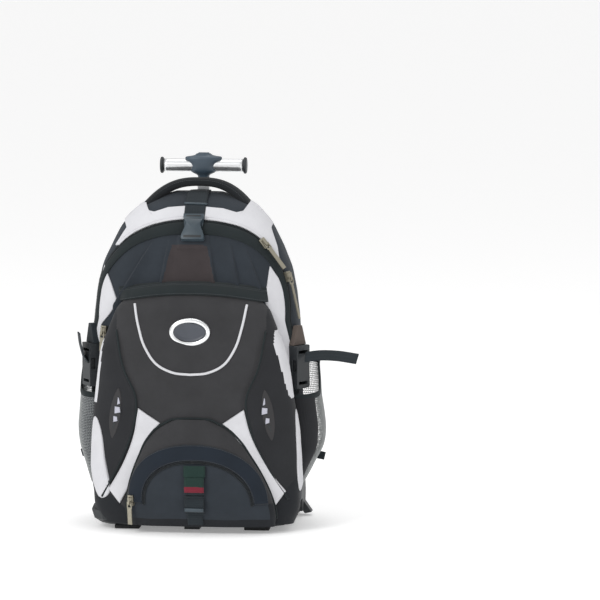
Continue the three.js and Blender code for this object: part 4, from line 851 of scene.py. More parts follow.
def metal_material(name, colour, roughness=0.28, brushed=0.0):
    """Bright metal: nearly full metal with fine noise in its gloss, stretched along X where it is brushed."""
    material, shader, add, link = new_material(name)
    shader.inputs["Metallic"].default_value = 0.9
    shader.inputs["Base Color"].default_value = (*colour, 1)
    where = add("ShaderNodeTexCoord")
    turn = add("ShaderNodeMapping")
    turn.inputs["Scale"].default_value = (1 - 0.97 * brushed, 1, 1)
    noise = add("ShaderNodeTexNoise", {"Scale": 500.0, "Detail": 3.0})
    link(where.outputs["Object"], turn.inputs["Vector"])
    link(turn.outputs["Vector"], noise.inputs["Vector"])
    fine = noise.outputs["Fac"]
    surface(add, link, shader, fine, roughness - 0.07, roughness + 0.12, fine, 0.08, 0.0001)
    return material


badge_x = lean(BADGE_UP / MM) * MM
badge_y = float(lay(pocket, badge_x, BADGE_UP)[1])


def oval(name, rows, count=96):
    """A turned oval: rows give half width, half height and y, closed at the last row if its size is 0."""
    angle = np.linspace(0, 2 * np.pi, count, endpoint=False)
    rows = np.array(rows)
    x = badge_x + rows[:, :1] * np.cos(angle)
    z = BADGE_UP + rows[:, 1:2] * np.sin(angle)
    place = np.stack([x, np.broadcast_to(badge_y + rows[:, 2:], x.shape), z], -1)
    return mesh_piece(name, place, quads(*place.shape[:2], closed=True))


rim = np.linspace(0, np.pi, 15)
w, h, r = BADGE_WIDTH / 2 - BADGE_RIM / 2, BADGE_HEIGHT / 2 - BADGE_RIM / 2, BADGE_RIM / 2
ring_rows = [(w + r * np.cos(a), h + r * np.cos(a), -0.0018 - 0.0024 * np.sin(a)) for a in rim]
ring_rows = [(w + r, h + r, 0.004)] + ring_rows + [(w - r, h - r, 0.004), (w + r, h + r, 0.004)]
ring = oval("badge_ring_bright", ring_rows)
bright = metal_material("bright_metallised", (0.86, 0.87, 0.88), 0.22)
place_on(weld(ring), bright, "bag", ["badge_ring"], "silver")
FIELD = [(0.2, 4), (0.2, -3), (1.4, -3.4), (1.8, -3), (6, -3)]  # inset from the ring and y, in mm
field = [(w - r - inset * MM, h - r - inset * MM, y * MM) for inset, y in FIELD] + [(0, 0, -0.0032)]
plate = oval("badge_field", field)
badge_grey = plastic_material("badge_grey", srgb(66, 70, 78), 0.35, 0.15, 400)
place_on(weld(plate), badge_grey, "bag", ["badge_plate"], "badge")

# Vents: two moulded leaf shapes with slanted windows, sewn into the sides of the compartment.
VENT_WIDTH, VENT_LENGTH, VENT_TILT = 17, 74, 5
WINDOWS = {  # x and z of each window's middle, its width and height, in mm
    "left": (-1, [(-100.5, 189, 4, 10), (-102, 176, 8.5, 9.5), (-105, 163, 6, 8)]),
    "right": (1, [(108.2, 190.3, 4, 10), (108.7, 177, 8.5, 9.5), (112.6, 163, 6, 8)]),
}
vent_brown = plastic_material("moulded_brown_grey", srgb(38, 37, 39), 0.6, 0.3)
pane_grey = cloth_material("vent_mesh", srgb(196, 196, 208), pitch=0.0007, variation=0.05)
for word, (side, windows) in WINDOWS.items():
    (vent_x, vent_z), = on_pocket([(0.735, 0.49)], side)
    t = np.linspace(-1, 1, 80)
    wide = (VENT_WIDTH / 2) * np.clip(1 - t**2, 0, 1) ** 0.7
    lean_x = vent_x - side * VENT_TILT * t
    rise = vent_z + VENT_LENGTH / 2 * t
    first = ((lean_x - wide) * MM, rise * MM)
    second = ((lean_x + wide) * MM, rise * MM)
    leaf = panel("vent_leaf_" + word, pocket, first, second, 0.0003, 2.4 * MM, 30)
    place_on(leaf, vent_brown, "bag", ["vent_" + word], "plastic")
    panes, frames = [], []
    for k, (cx, cz, width, height) in enumerate(windows):
        for grow, group, lift in ((0, panes, 3.0), (1.3, frames, 2.6)):
            w, h = width / 2 + grow, height / 2 + grow
            skew = side * 0.15 * height
            taper = 0.3 if k == 0 else 0.9
            left_edge = [(cx - w + side * 0.5 - skew * 0.5, cz - h - 1), (cx - w * taper, cz + h)]
            right_edge = [(cx + w - skew * 0.5, cz - h + 1), (cx + w * taper, cz + h - 1)]
            edges = [
                (np.linspace(a[0], b[0], 12) * MM, np.linspace(a[1], b[1], 12) * MM)
                for a, b in (left_edge, right_edge)
            ]
            group.append(panel(f"pane_{word}_{k}_{grow}", pocket, *edges, lift * MM, 0.4 * MM, 8))
    cx, cz, width, height = windows[-1]
    edges = [([cx + side * 1 + d, cx + side * 5 + d * 0.3], [cz - 6, cz - 16]) for d in (-2.4, 2.4)]
    edges = [(np.linspace(*x, 12) * MM, np.linspace(*z, 12) * MM) for x, z in edges]
    frames.append(panel(f"slit_{word}", pocket, *edges, 2.6 * MM, 0.4 * MM, 8))
    place_on(joined("vent_panes_" + word, *panes), pane_grey, "bag", [], "plastic")
    place_on(joined("vent_frames_" + word, *frames), black_plastic, "bag", [], "plastic")

# Side pockets: an open net of grey knitted yarn between a bound mouth and the bag's side.
NET_TOP, NET_BOTTOM, NET_HALF_DEPTH = 240, 62, 48
NET_ROWS = [(0.0, 0.1), (0.14, 0.5), (0.3, 0.92), (0.44, 1.0), (0.7, 0.86), (1.0, 0.7)]
net_cloth = cloth_material("knitted_net", srgb(170, 173, 173), pitch=0.0006, variation=0.1)


def net_form(bulge):
    root = half_width - 30
    rows = [
        (
            NET_BOTTOM + up * (NET_TOP - NET_BOTTOM),
            root - 10,
            half_width + out * bulge,
            2 - NET_HALF_DEPTH,
            2 + NET_HALF_DEPTH,
        )
        for up, out in NET_ROWS
    ]
    return make_form(rows, 2.6)


def net_mouth(y):
    """Height of a side pocket's mouth at depth y (mm): low at the front, up a slope, then level to the back."""
    return np.interp(y, [-58, -12, 7.2, 68], [NET_TOP - 52, NET_TOP - 46, NET_TOP - 5, NET_TOP - 4])


for side, word, bulge in ((1, "right", 34), (-1, "left", 21)):
    form = net_form(bulge)
    fine = np.linspace(-np.pi / 2, np.pi / 2, 400)
    ring = around(form, fine, np.full(fine.shape, 0.15))
    length = run(ring)
    columns = 46
    angle = np.interp(np.linspace(0, length[-1], columns), length, fine)
    top = net_mouth(np.interp(angle, fine, ring[:, 1]) / MM) * MM
    share = np.linspace(0, 1, 56)[:, None]
    z = NET_BOTTOM * MM + share * (top - NET_BOTTOM * MM)[None, :]
    place = around(form, np.broadcast_to(angle, z.shape), z)
    place[..., 0] *= side
    # every second row is moved by half a mesh, so the holes lie like bricks
    shift = np.zeros_like(place)
    shift[1::2, 1:-1] = (place[1::2, 2:] - place[1::2, 1:-1]) * 0.5
    flat = np.stack(np.broadcast_arrays(angle * 0.08, z), -1)
    net = mesh_piece("net_" + word, place + shift, quads(*place.shape[:2]), flat)
    wires = net.modifiers.new("yarn", "WIREFRAME")
    wires.thickness = 0.0011
    wires.use_replace = True
    wires.use_even_offset = False
    place_on(net, net_cloth, "bag", ["mesh_pocket_" + word], "net")
    gusset_columns = 12
    gusset_part = place[:, :gusset_columns]
    gusset = mesh_piece("net_gusset_" + word, gusset_part, quads(*gusset_part.shape[:2]), gusset_part[..., 1:])
    thicken(weld(gusset), -side * 1.2 * MM)
    place_on(gusset, side_cloth if side > 0 else charcoal, "bag", [], "net")
    rim_line = place[-1]
    rim_out = np.tile([side, 0, 0.0001], (columns, 1))
    binding = swept("net_binding_" + word, rim_line, rim_out, (0.0045, 0.0016), 12)
    place_on(binding, black_cloth, "bag", [], "net")

# Carry handle: a foam core in dark cloth, a flat oval in section, sewn into the crown at both ends.
GRAB_HALF, GRAB_Y, GRAB_HIGH = 75, 26, 493
t = np.linspace(-1.05, 1.05, 90)
x, y, z = GRAB_HALF * t, GRAB_Y - 14 * np.abs(t) ** 3, GRAB_HIGH - 36 * np.abs(t) ** 2.6
line = np.stack([x, y, z], -1) * MM
out = np.stack([0.6 * t, 0 * t, 1 + 0 * t], -1)
swell = np.stack([10.6 + 1.2 * np.abs(t), 6.3 + 0.8 * np.abs(t)], -1) * MM
grab = swept("grab_handle_cloth", line, out, swell, 28, 0.8)
grab_black = cloth_material("woven_grab_black", srgb(30, 33, 36), pitch=0.0009)
place_on(grab, grab_black, "bag", ["grab_handle"], "black")
seam_line = line[6:-6] + np.array([0, -1, 0.25]) * 0.0108
spot, along = along_line(seam_line, 0.0031)
corner, faces = repeated(spot, along, np.tile([0.0, -1.0, 0.3], (len(spot), 1)), (0.0021, 0.0006, 0.0005))
place_on(mesh_piece("grab_stitches", corner, faces), thread, "bag", [], "black")

# Centre strap: 30 mm webbing sewn under the carry handle, over the crown and down to the buckle,
# with a keeper bar near its lower end.
STRAP_HALF = 15 * MM
webbing = cloth_material("ribbed_webbing", srgb(38, 45, 50), pitch=0.0018, bump=0.6, cross=0.5)
across = np.linspace(-1, 1, 9) * STRAP_HALF
back_y = np.linspace(44, 21, 10) * MM
flat_part = np.stack(np.broadcast_arrays(across[None, :], back_y[:, None], (BODY_TOP + 2.6) * MM), -1)
flat_part[..., 2] -= (across[None, :] / STRAP_HALF) ** 2 * 0.0008
slope_z = np.linspace(476, 441, 40) * MM
slope_part = lay(body, across[None, :], slope_z[:, None], 0.0036)
strap_places = np.concatenate([flat_part, slope_part])
faces = quads(*strap_places.shape[:2])[:, ::-1]
top_strap = mesh_piece("top_strap_webbing", strap_places, faces, strap_places[..., [2, 0]])
thicken(weld(top_strap), 1.8 * MM)
place_on(top_strap, webbing, "bag", ["top_strap"], "webbing")
keeper_line = lay(body, np.linspace(-0.0165, 0.0165, 8), 0.461, 0.0044)
keeper = swept("strap_keeper", keeper_line, np.tile([0.0, -1.0, 0.6], (8, 1)), (0.0016, 0.0016), 12, 0.7)
buckle_grey = plastic_material("buckle_slate", srgb(54, 66, 74), 0.4, 0.1)
place_on(keeper, buckle_grey, "bag", [], "buckle")

# Side-release buckle on the front slope: a flared socket with its plug's arms in the side notches,
# and thin black plates of painted shade where the slot for the lower webbing and the plug's slot open.
BUCKLE_UP, BUCKLE_LIFT = 431, 4.0


def local_frame(origin, right, upward_):
    """An origin and three unit axes: right, up made square to it, and out, their cross product."""
    right = np.array(right, float) / np.linalg.norm(right)
    upward_ = np.array(upward_, float) - right * np.dot(right, upward_)
    upward_ /= np.linalg.norm(upward_)
    return np.array(origin, float), right, upward_, np.cross(right, upward_)


def plate(name, where, outline, depth, bevel=0.8):
    """A moulded plate: an outline in mm in a local frame, as thick as depth, its front edge rounded."""
    origin, right, upward_, out = where
    outline = np.array(outline, float)
    mid = outline.mean(0)
    size = np.abs(outline - mid).max(0)
    rings = []
    for height, inset in ((0.0, 0.0), (depth - bevel, 0.0), (depth - 0.3 * bevel, 0.3 * bevel), (depth, bevel)):
        rings.append((mid + (outline - mid) * (1 - inset / size), height))
    place = [
        origin + (ring[:, :1] * right + ring[:, 1:] * upward_) * MM + out * height * MM for ring, height in rings
    ]
    caps = [np.repeat(p.mean(0)[None], len(outline), 0) for p in (place[0], place[-1])]
    place = np.stack([caps[0], *place, caps[1]])
    piece = weld(mesh_piece(name, place, quads(*place.shape[:2], closed=True)), 0.00002)
    piece.data.set_sharp_from_angle(angle=np.radians(40))
    return piece


slope_places = lay(body, 0.0, np.array([BUCKLE_UP - 16, BUCKLE_UP, BUCKLE_UP + 16]) * MM)
up_slope = slope_places[2] - slope_places[0]
buckle_frame = local_frame(slope_places[1] + np.array([0, -BUCKLE_LIFT * MM, 0]), (1, 0, 0), up_slope)
SOCKET = [(16.8, -17), (16.2, -12), (13.2, -4), (10.9, 3), (10.8, 6.5), (12.6, 10), (14.4, 12.2)]
SOCKET = [(-15.6, -20), (15.6, -20)] + SOCKET + [(-x, z) for x, z in SOCKET[::-1]]
socket = plate("buckle_socket_moulded", buckle_frame, SOCKET, 8.6, 1.6)
place_on(socket, buckle_grey, "bag", ["buckle_socket"], "buckle")
PLUG = [(-13.6, 11.8), (13.6, 11.8), (14.8, 15), (14.8, 21), (-14.8, 21), (-14.8, 15)]
plug = plate("buckle_plug_moulded", buckle_frame, PLUG, 6.4, 1.0)
place_on(plug, buckle_grey, "bag", ["buckle_plug"], "buckle")
# Slots: the openings are not cut; thin black plates a little proud of the socket and the plug are painted shade in
# their place.
slot_shades = []
for k, (low, high, half, depth) in enumerate(((-17.4, -13.8, 12.6, 8.8), (16.3, 18.5, 11, 6.6))):
    edge = [(-half, low), (half, low), (half, high), (-half, high)]
    slot_shades.append(plate(f"slot_{k}", buckle_frame, edge, depth, 0.1))
arms = []
for side in (-1, 1):
    arm = [(side * x, z) for x, z in ((11.2, 3), (12.9, 1), (13.6, 7), (14.2, 11.8), (12.8, 11.8), (11.2, 8))]
    arms.append(plate(f"arm_{side}", buckle_frame, arm[::side], 3.6, 0.6))
place_on(joined("buckle_slots", *slot_shades), black_plastic, "bag", [], "buckle")
place_on(joined("buckle_arms", *arms), buckle_grey, "bag", [], "buckle")

# Straps at the sides: loose webbing tails. Their corner tabs and hanging buckles keep their CAD form among the hard
# pieces below.


def webbing_strip(name, stations, width, thickness=1.8 * MM, count=40):
    """Flat webbing through stations of x, y, z in mm and an outward direction; width may be a list along it."""
    stations = np.array(stations, float)
    step = run(stations[:, :3])
    at = np.linspace(0, step[-1], count)
    line = np.stack([through(at, step, stations[:, k]) for k in range(3)], -1) * MM
    out = np.stack([through(at, step, stations[:, k]) for k in (3, 4, 5)], -1)
    widths = np.interp(at, step, np.broadcast_to(width, len(stations))) * MM / 2
    return swept(name, line, out, np.stack([widths, np.full(count, thickness / 2)], -1), 20, 0.35)


TAIL_RIGHT = [  # x, y, z in mm and the outward direction
    (160, -38, 247, 0, -0.6, 0.8),
    (180, -40, 250, 0, -0.6, 0.8),
    (205, -42, 250, 0, -0.6, 0.8),
    (236, -44, 246, 0, -0.6, 0.8),
]
TAIL_LEFT = [
    (-157, -35, 236, -0.9, -0.45, 0),
    (-162, -38, 248, -0.95, -0.3, 0),
    (-165, -40, 262, -0.95, -0.3, 0),
    (-167, -41, 279, -0.95, -0.3, 0),
]
tail_right = webbing_strip("tail_right_webbing", TAIL_RIGHT, 21)
place_on(tail_right, webbing, "bag", ["strap_tail_right"], "webbing")
tail_left = webbing_strip("tail_left_webbing", TAIL_LEFT, 21)
place_on(tail_left, webbing, "bag", ["strap_tail_left"], "webbing")

# Daisy chain: a strip of webbing down the lower pocket with two loops, a red and a green bar, a
# grey keeper and a tab at its top.
DAISY_X, DAISY_HALF = 11.3 * MM, 14 * MM
LOOPS = [(62, 83, 6.6), (34, 54, 6.6)]  # foot, top and height in mm


def daisy_ribbon(name, z, lift, half, material):
    """Webbing on the lower pocket along heights z, standing off it by lift."""
    across = np.linspace(-1, 1, 9) * half
    place = lay(lower, (DAISY_X + across)[None, :], z[:, None], lift[:, None])
    piece = mesh_piece(name, place, quads(*place.shape[:2]), place[..., [0, 2]])
    thicken(weld(piece), 1.4 * MM)
    return place_on(piece, material, "bag", [], "webbing")


base_z = np.linspace(14, 97, 80) * MM
base_tape = daisy_ribbon("daisy_tape", base_z, 0.0022 + 0 * base_z, DAISY_HALF * 0.8, webbing)
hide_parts("daisy_chain")
red = cloth_material("webbing_red", srgb(122, 36, 52), pitch=0.0016, bump=0.5)
green = cloth_material("webbing_green", srgb(32, 54, 49), pitch=0.0016, bump=0.5)
for k, (foot, top, high) in enumerate(LOOPS):
    z = np.linspace(foot - 3, top + 3, 50)
    stand = np.clip(np.sin(np.pi * (z - foot) / (top - foot)), 0, 1) ** 0.45 * ((z > foot) & (z < top))
    loop = daisy_ribbon(f"daisy_loop_{k}", z * MM, (3.8 + (high - 2.2) * stand) * MM, DAISY_HALF, webbing)
    if k == 0:
        place = centres(loop)
        paint(loop, red, (place[:, 2] > 0.062) & (place[:, 2] < 0.0705))
        paint(loop, green, place[:, 2] > 0.0705)
tab_z = np.linspace(84, 100, 20) * MM
daisy_ribbon("daisy_tab", tab_z, 0.0042 + 0 * tab_z, DAISY_HALF * 1.1, green)
keeper_line = lay(lower, DAISY_X + np.linspace(-1, 1, 10) * 0.0135, 0.039, 0.0092)
keeper = swept("daisy_keeper", keeper_line, np.tile([0.0, -1.0, 0.0], (10, 1)), (0.0026, 0.0015), 14, 0.7)
place_on(keeper, buckle_grey, "bag", [], "webbing")

# Back panel: three foam cushions under black air mesh, with grooves between them. The trolley's
# post runs between them and the tub.
PAD_WIDTH, PAD_TOP, PAD_BOTTOM, PAD_BACK = 244, 440, 88, 93
PAD_HALVES = [(0, 0.9), (0.06, 1), (0.4, 1), (0.8, 0.92), (0.96, 0.8), (1, 0.7)]
PAD_SPLITS = [0.0, 0.36, 0.66, 1.0]
air_mesh = cloth_material("air_mesh_black", srgb(36, 38, 41), pitch=0.0028, bump=1.0, variation=0.1)


def plump(piece, cap, pressure=4.0, voxel=0.005):
    """Swells a closed form as foam does under cloth: an even remesh, then twenty steps of cloth under pressure
    with no gravity, in which no point may move further than cap, and one subdivision."""
    scene = bpy.context.scene
    even = piece.modifiers.new("even", "REMESH")
    even.mode, even.voxel_size = "VOXEL", voxel
    bpy.context.view_layer.objects.active = piece
    with bpy.context.temp_override(object=piece, active_object=piece):
        bpy.ops.object.modifier_apply(modifier="even")
    count = len(piece.data.vertices)
    start = np.empty(count * 3)
    piece.data.vertices.foreach_get("co", start)
    cloth = piece.modifiers.new("cloth", "CLOTH")
    cloth.settings.use_pressure = True
    cloth.settings.uniform_pressure_force = pressure
    cloth.settings.effector_weights.gravity = 0
    cloth.settings.quality = 4
    for step in range(1, 21):
        scene.frame_set(step)
    swollen = np.empty(count * 3)
    piece.evaluated_get(bpy.context.evaluated_depsgraph_get()).data.vertices.foreach_get("co", swollen)
    piece.modifiers.remove(cloth)
    scene.frame_set(1)
    move = (swollen - start).reshape(-1, 3)
    far = np.linalg.norm(move, axis=1, keepdims=True)
    move *= np.minimum(1, cap / (far + 1e-9))
    piece.data.vertices.foreach_set("co", (start.reshape(-1, 3) + move).ravel())
    piece.data.update()
    piece.data.polygons.foreach_set("use_smooth", np.ones(len(piece.data.polygons), bool))
    soft = piece.modifiers.new("soft", "SUBSURF")
    soft.levels = soft.render_levels = 1
    return piece


def cushion(name, low, high):
    """A crowned cushion of the back: superellipse sections whose depth and width close in towards both ends."""
    share = np.sin(np.linspace(-np.pi / 2, np.pi / 2, 13)) * 0.5 + 0.5
    rows = []
    for t in share:
        up = low + (high - low) * t
        z = PAD_BOTTOM + up * (PAD_TOP - PAD_BOTTOM)
        round_off = (1 - abs(2 * t - 1) ** 3.5) ** (1 / 3.5)
        half = np.interp(up, *np.array(PAD_HALVES).T) * PAD_WIDTH / 2 - 4 + 4 * round_off
        back = BODY_BACK + 2 + (PAD_BACK - BODY_BACK - 5) * (0.35 + 0.65 * round_off)
        rows.append((z, -half, half, BODY_BACK - 10, back))
    form = make_form(rows, 4)
    heights = np.linspace(rows[0][0] + 0.2, rows[-1][0] - 0.2, 40) * MM
    rings, flat = closed_skin(form, heights, 120)
    return weld(mesh_piece(name, rings, quads(*rings.shape[:2], closed=True), flat))


for k, word in enumerate(("lower", "middle", "upper")):
    low, high = PAD_SPLITS[k], PAD_SPLITS[k + 1]
    gap = 0.006
    pad = plump(cushion("back_cushion_" + word, low + gap, high - gap), 3.0 * MM)
    place_on(pad, air_mesh, "bag", ["back_panel"] if k == 0 else [], "black")
ground_heights = np.linspace(PAD_BOTTOM + 6, PAD_TOP - 8, 60) * MM
strip_x, strip_z = np.meshgrid(np.linspace(-1, 1, 40), ground_heights, indexing="xy")
up = (strip_z / MM - PAD_BOTTOM) / (PAD_TOP - PAD_BOTTOM)
strip_x = strip_x * (np.interp(up, *np.array(PAD_HALVES).T) * PAD_WIDTH / 2 - 9) * MM
GROUND_Y = 86.8 * MM
ground_places = np.stack([strip_x, GROUND_Y + 0 * strip_x, strip_z], -1)
ground = mesh_piece("back_panel_ground", ground_places, quads(60, 40)[:, ::-1], ground_places[..., [0, 2]])
thicken(ground, 1.0 * MM)
place_on(ground, black_cloth, "bag", [], "black")

# Shoulder straps: foam in dark cloth from the crown to the small of the back, then webbing down
# to the lower corners, with its loose end sticking out beside the wheels.
STRAP_FACE = PAD_BACK + 5.4
PADDED = [  # side share x, y, z in mm, width, thickness
    (38, 64, 452, 36, 4),
    (42, STRAP_FACE, 444, 48, 8.4),
    (54, STRAP_FACE, 400, 60, 12),
    (74, STRAP_FACE, 310, 57, 12),
    (92, STRAP_FACE, 220, 48, 10.8),
    (96, STRAP_FACE, 204, 40, 8),
]
WEB = [  # x, y, z in mm and the outward direction
    (97, STRAP_FACE, 206, 0, 1, 0),
    (104, STRAP_FACE - 1, 190, 0, 1, 0),
    (129, 87, 142, 0.9, 0.6, 0),
    (127, 58, 106, 0.7, 0.7, 0),
    (150, 58, 98, 0.2, 1, 0.2),
    (179, 60, 91, 0.2, 1, 0.2),
]
for side, word in ((1, "right"), (-1, "left")):
    rows = np.array(PADDED, float)
    step = run(rows[:, :3])
    at = np.linspace(0, step[-1], 60)
    x, y, z, wide, thick = (through(at, step, rows[:, k]) for k in range(5))
    line = np.stack([side * x, np.minimum(y, STRAP_FACE + 0.3), z], -1) * MM
    out = np.stack([0 * x, 1 + 0 * x, np.clip((z - 425) / 20, 0, 1)], -1)
    foam = swept("strap_foam_" + word, line, out, np.stack([wide / 2 - 1.5, thick / 2 - 0.6], -1) * MM, 28, 0.5)
    plump(foam, 2.0 * MM, voxel=0.004)
    place_on(foam, grab_black, "bag", ["shoulder_strap_" + word], "black")
    web = [(side * x, y, z, side * a, b, c) for x, y, z, a, b, c in WEB]
    strip = webbing_strip("strap_webbing_" + word, web, [25, 25, 25, 22, 14, 12], count=90)
    place_on(strip, webbing, "bag", [], "black")

# Hard pieces that keep their CAD form: moulded tray, feet, wheel housings, trolley tubes, buckles,
# sliders and pulls. Facets are merged to true faces, edges rounded as a mould or a press leaves them.


def finished(node, rounding, material):
    """A finished copy of a hard CAD piece: doubles merged, flat facets joined, and edges rounded by a bevel."""
    source = frame["nodes"][node]
    mesh = source.data.copy()
    piece = bpy.data.objects.new(node + "_finished", mesh)
    bpy.context.scene.collection.objects.link(piece)
    work = bmesh.new()
    work.from_mesh(mesh)
    bmesh.ops.remove_doubles(work, verts=work.verts, dist=0.00001)
    bmesh.ops.dissolve_limit(work, angle_limit=np.radians(1.5), verts=work.verts, edges=work.edges)
    bmesh.ops.recalc_face_normals(work, faces=work.faces)
    work.to_mesh(mesh)
    work.free()
    mesh.polygons.foreach_set("use_smooth", np.ones(len(mesh.polygons), bool))
    mesh.set_sharp_from_angle(angle=np.radians(32))
    edge = piece.modifiers.new("rounded", "BEVEL")
    edge.width, edge.segments, edge.limit_method, edge.angle_limit = rounding * MM, 2, "ANGLE", np.radians(40)
    edge.use_clamp_overlap = True
    return place_on(piece, material, body_of[node], [node], slot_of[node])


slot_of = {part["node"]: part["material_slot"] for part in frame["record"]["subparts"]}
body_of = {}
for body_name, nodes in frame["record"]["behaviour"]["bodies"].items():
    body_of.update({node: body_name for node in nodes})
knob_slate = plastic_material("knob_slate", srgb(58, 72, 84), 0.4, 0.12)
rubber = plastic_material("rubber_black", srgb(27, 28, 30), 0.75, 0.3)
satin = metal_material("satin_aluminium", (0.80, 0.81, 0.82), 0.3, 1.0)
nickel = metal_material("plated_steel", srgb(158, 153, 138), 0.34)
tab_brown = cloth_material("tab_brown_grey", srgb(98, 88, 82), pitch=0.0012)
for node, rounding, material in (
    ("base_tray", 1.5, black_plastic), ("foot_left", 1.2, rubber), ("foot_right", 1.2, rubber),
    ("wheel_housing_left", 1.2, black_plastic), ("wheel_housing_right", 1.2, black_plastic),
    ("trolley_case", 0.8, satin), ("handle_stage_lower", 0.8, satin), ("handle_stage_upper", 0.8, satin),
    ("handle_bezel", 1.6, black_plastic), ("push_button", 1.2, knob_slate),
    ("grip_cap_left", 1.4, black_plastic), ("grip_cap_right", 1.4, black_plastic),
    ("side_buckle_left", 1.2, black_plastic), ("side_buckle_right", 1.2, black_plastic),
    ("strap_tab_left", 0.8, webbing), ("strap_tab_right", 0.8, tab_brown),
    ("main_slider_upper", 0.5, nickel), ("main_slider_lower", 0.5, nickel),
    ("pocket_slider", 0.5, nickel), ("lower_slider", 0.5, nickel),
    ("main_pull_upper", 0.25, nickel), ("main_pull_lower", 0.25, nickel),
    ("pocket_pull", 0.25, nickel), ("lower_pull", 0.25, nickel),
):
    finished(node, rounding, material)

# T handle: a slate knob, waisted in front view, moulded round a silver tube with black end caps.
POST_Y, KNOB_LOW, GRIP_UP = 75.5, 496, 17
KNOB = [  # height above its foot, half width, half depth in mm
    (0, 7.9, 8.4), (3, 9.4, 9.2), (5.2, 13.5, 10.8), (7, 17, 12.2), (9, 18.4, 13.2),
    (12.5, 18.2, 13.8), (17, 18, 13.8), (20, 19.6, 13.6), (23, 23, 13.4), (25.6, 26.2, 13.2),
    (28, 26.6, 12.8), (29.6, 25, 12), (30.8, 17, 10.6), (32.2, 12.6, 9.4), (34, 10.4, 8.4),
]
KNOB_SQUARE = 2.8
knob_rows = [(KNOB_LOW + up, -half, half, POST_Y - deep, POST_Y + deep) for up, half, deep in KNOB]
knob_form = make_form(knob_rows, KNOB_SQUARE)
knob_heights = KNOB_LOW + np.linspace(0, 34, 70)
angle = np.linspace(0, 2 * np.pi, 96, endpoint=False)
mx, hx, my, hy = section(knob_form, knob_heights[:, None] * MM)
x, y = mx + hx * bend(np.cos(angle), KNOB_SQUARE), my + hy * bend(np.sin(angle), KNOB_SQUARE)
rings = np.stack(np.broadcast_arrays(x, y, knob_heights[:, None] * MM), -1)
caps = [np.repeat(rings[end].mean(0)[None, None], 96, 1) for end in (0, -1)]
rings = np.concatenate([caps[0], rings, caps[1]])
knob = weld(mesh_piece("knob_moulded", rings, quads(*rings.shape[:2], closed=True)))
place_on(knob, knob_slate, body_of["handle_knob"], ["handle_knob"], "knob")
line = np.stack(np.broadcast_arrays(np.linspace(-58.3, 58.3, 24), POST_Y, KNOB_LOW + GRIP_UP), -1) * MM
grip = swept("grip_tube_satin", line, np.tile([0.0, 0.0, 1.0], (24, 1)), (0.0095, 0.0095), 64)
place_on(grip, satin, body_of["grip_tube"], ["grip_tube"], "silver")

# Wheels: a ribbed tyre on a moulded hub, turned about the axle.
WHEEL_X, WHEEL_Y, WHEEL_R, WHEEL_HALF = 126.5, 100, 28, 12
TYRE = [  # radius and half width as shares of the wheel's, from the bore to the tread
    (0.112, 1), (0.3, 1), (0.34, 0.92), (0.38, 0.7), (0.68, 0.68), (0.73, 0.9),
    (0.76, 0.96), (0.9, 0.97), (0.96, 0.84), (0.995, 0.5), (1.0, 0.3),
]
for side, word in ((1, "right"), (-1, "left")):
    half = np.array(TYRE) * [WHEEL_R, WHEEL_HALF]
    profile = np.concatenate([half * [1, -1], half[::-1]])
    angle = np.linspace(0, 2 * np.pi, 72, endpoint=False)
    radius, x = profile[:, :1], profile[:, 1:]
    tread = 1 - 0.012 * (radius > 0.94 * WHEEL_R) * (np.arange(72) % 3 == 0)
    y, z = WHEEL_Y + radius * tread * np.cos(angle), WHEEL_R + radius * tread * np.sin(angle)
    place = np.stack(np.broadcast_arrays(side * WHEEL_X + x, y, z), -1)
    place = np.concatenate([place, place[:1]])
    wheel = weld(mesh_piece("wheel_turned_" + word, place * MM, quads(*place.shape[:2], closed=True)))
    place_on(wheel, rubber, body_of["wheel_" + word], ["wheel_" + word], "rubber")
    middle = centres(wheel)
    from_axle = np.hypot(middle[:, 1] - WHEEL_Y * MM, middle[:, 2] - WHEEL_R * MM)
    paint(wheel, vent_brown, from_axle < 0.74 * WHEEL_R * MM)

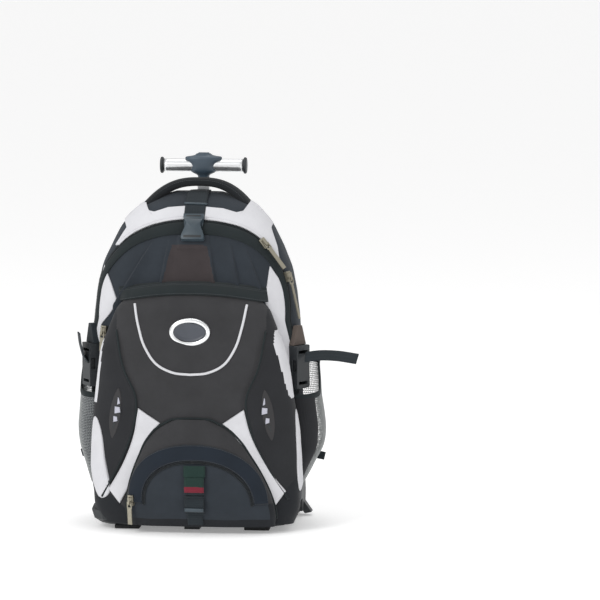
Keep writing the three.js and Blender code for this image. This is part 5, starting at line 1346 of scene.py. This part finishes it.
# Plain pale floor, soft white surroundings and three large soft lights. The floor glows faintly,
# so that it stays near white as far as the horizon.
corners = np.array([(-45, -45, -0.0005), (45, -45, -0.0005), (45, 45, -0.0005), (-45, 45, -0.0005)])
floor = mesh_piece("floor", corners, np.array([(0, 1, 2, 3)]))
floor_paint, floor_shader, _, _ = new_material("floor_white")
floor_shader.inputs["Base Color"].default_value = (0.93, 0.93, 0.93, 1)
floor_shader.inputs["Roughness"].default_value = 0.9
floor_shader.inputs["Emission Color"].default_value = (1, 1, 1, 1)
floor_shader.inputs["Emission Strength"].default_value = 0.26
floor.data.materials.append(floor_paint)

world = bpy.data.worlds.new("studio")
bpy.context.scene.world = world
world.use_nodes = True
world.node_tree.nodes["Background"].inputs["Color"].default_value = (1.0, 1.0, 1.0, 1)
world.node_tree.nodes["Background"].inputs["Strength"].default_value = 0.72
LIGHTS = (  # name, place, size and power
    ("key", (-1.7, -2.6, 2.3), 1.2, 46),
    ("fill", (2.4, -2.2, 0.9), 2.0, 7),
    ("top", (0.2, 0.3, 2.9), 1.4, 16),
)
for name, place, size, power in LIGHTS:
    light = bpy.data.lights.new(name, "AREA")
    light.energy, light.size = power, size
    lamp = bpy.data.objects.new(name, light)
    lamp.location = place
    lamp.rotation_euler = (Vector((0, 0, 0.25)) - Vector(place)).to_track_quat("-Z", "Y").to_euler()
    bpy.context.scene.collection.objects.link(lamp)
bpy.context.scene.view_settings.view_transform = "Standard"

# The photograph's view: a long lens from the front, a little to the right and above.
AZIMUTH, ELEVATION = np.radians(6.0), np.radians(6.0)
PIXEL, MIDDLE_U, MIDDLE_V = 1.45 * MM, 300 - 198, 522 - 300
rightward = np.array([np.cos(AZIMUTH), np.sin(AZIMUTH), 0])
level = np.array([-np.sin(AZIMUTH), np.cos(AZIMUTH), 0])
forward = level * np.cos(ELEVATION) - np.array([0, 0, np.sin(ELEVATION)])
upward = np.cross(rightward, forward)
DISTANCE = 7.0
camera = bpy.data.cameras.new("camera")
camera.sensor_width = 36
camera.lens = 36 * DISTANCE / (600 * PIXEL)
camera.clip_end = 50
eye = bpy.data.objects.new("camera", camera)
bpy.context.scene.collection.objects.link(eye)
target = rightward * MIDDLE_U * PIXEL + upward * MIDDLE_V * PIXEL
eye.matrix_world = Matrix(np.column_stack([rightward, upward, -forward]).tolist()).to_4x4()
eye.location = Vector(target - forward * DISTANCE)
bpy.context.scene.camera = eye

bpy.context.view_layer.update()
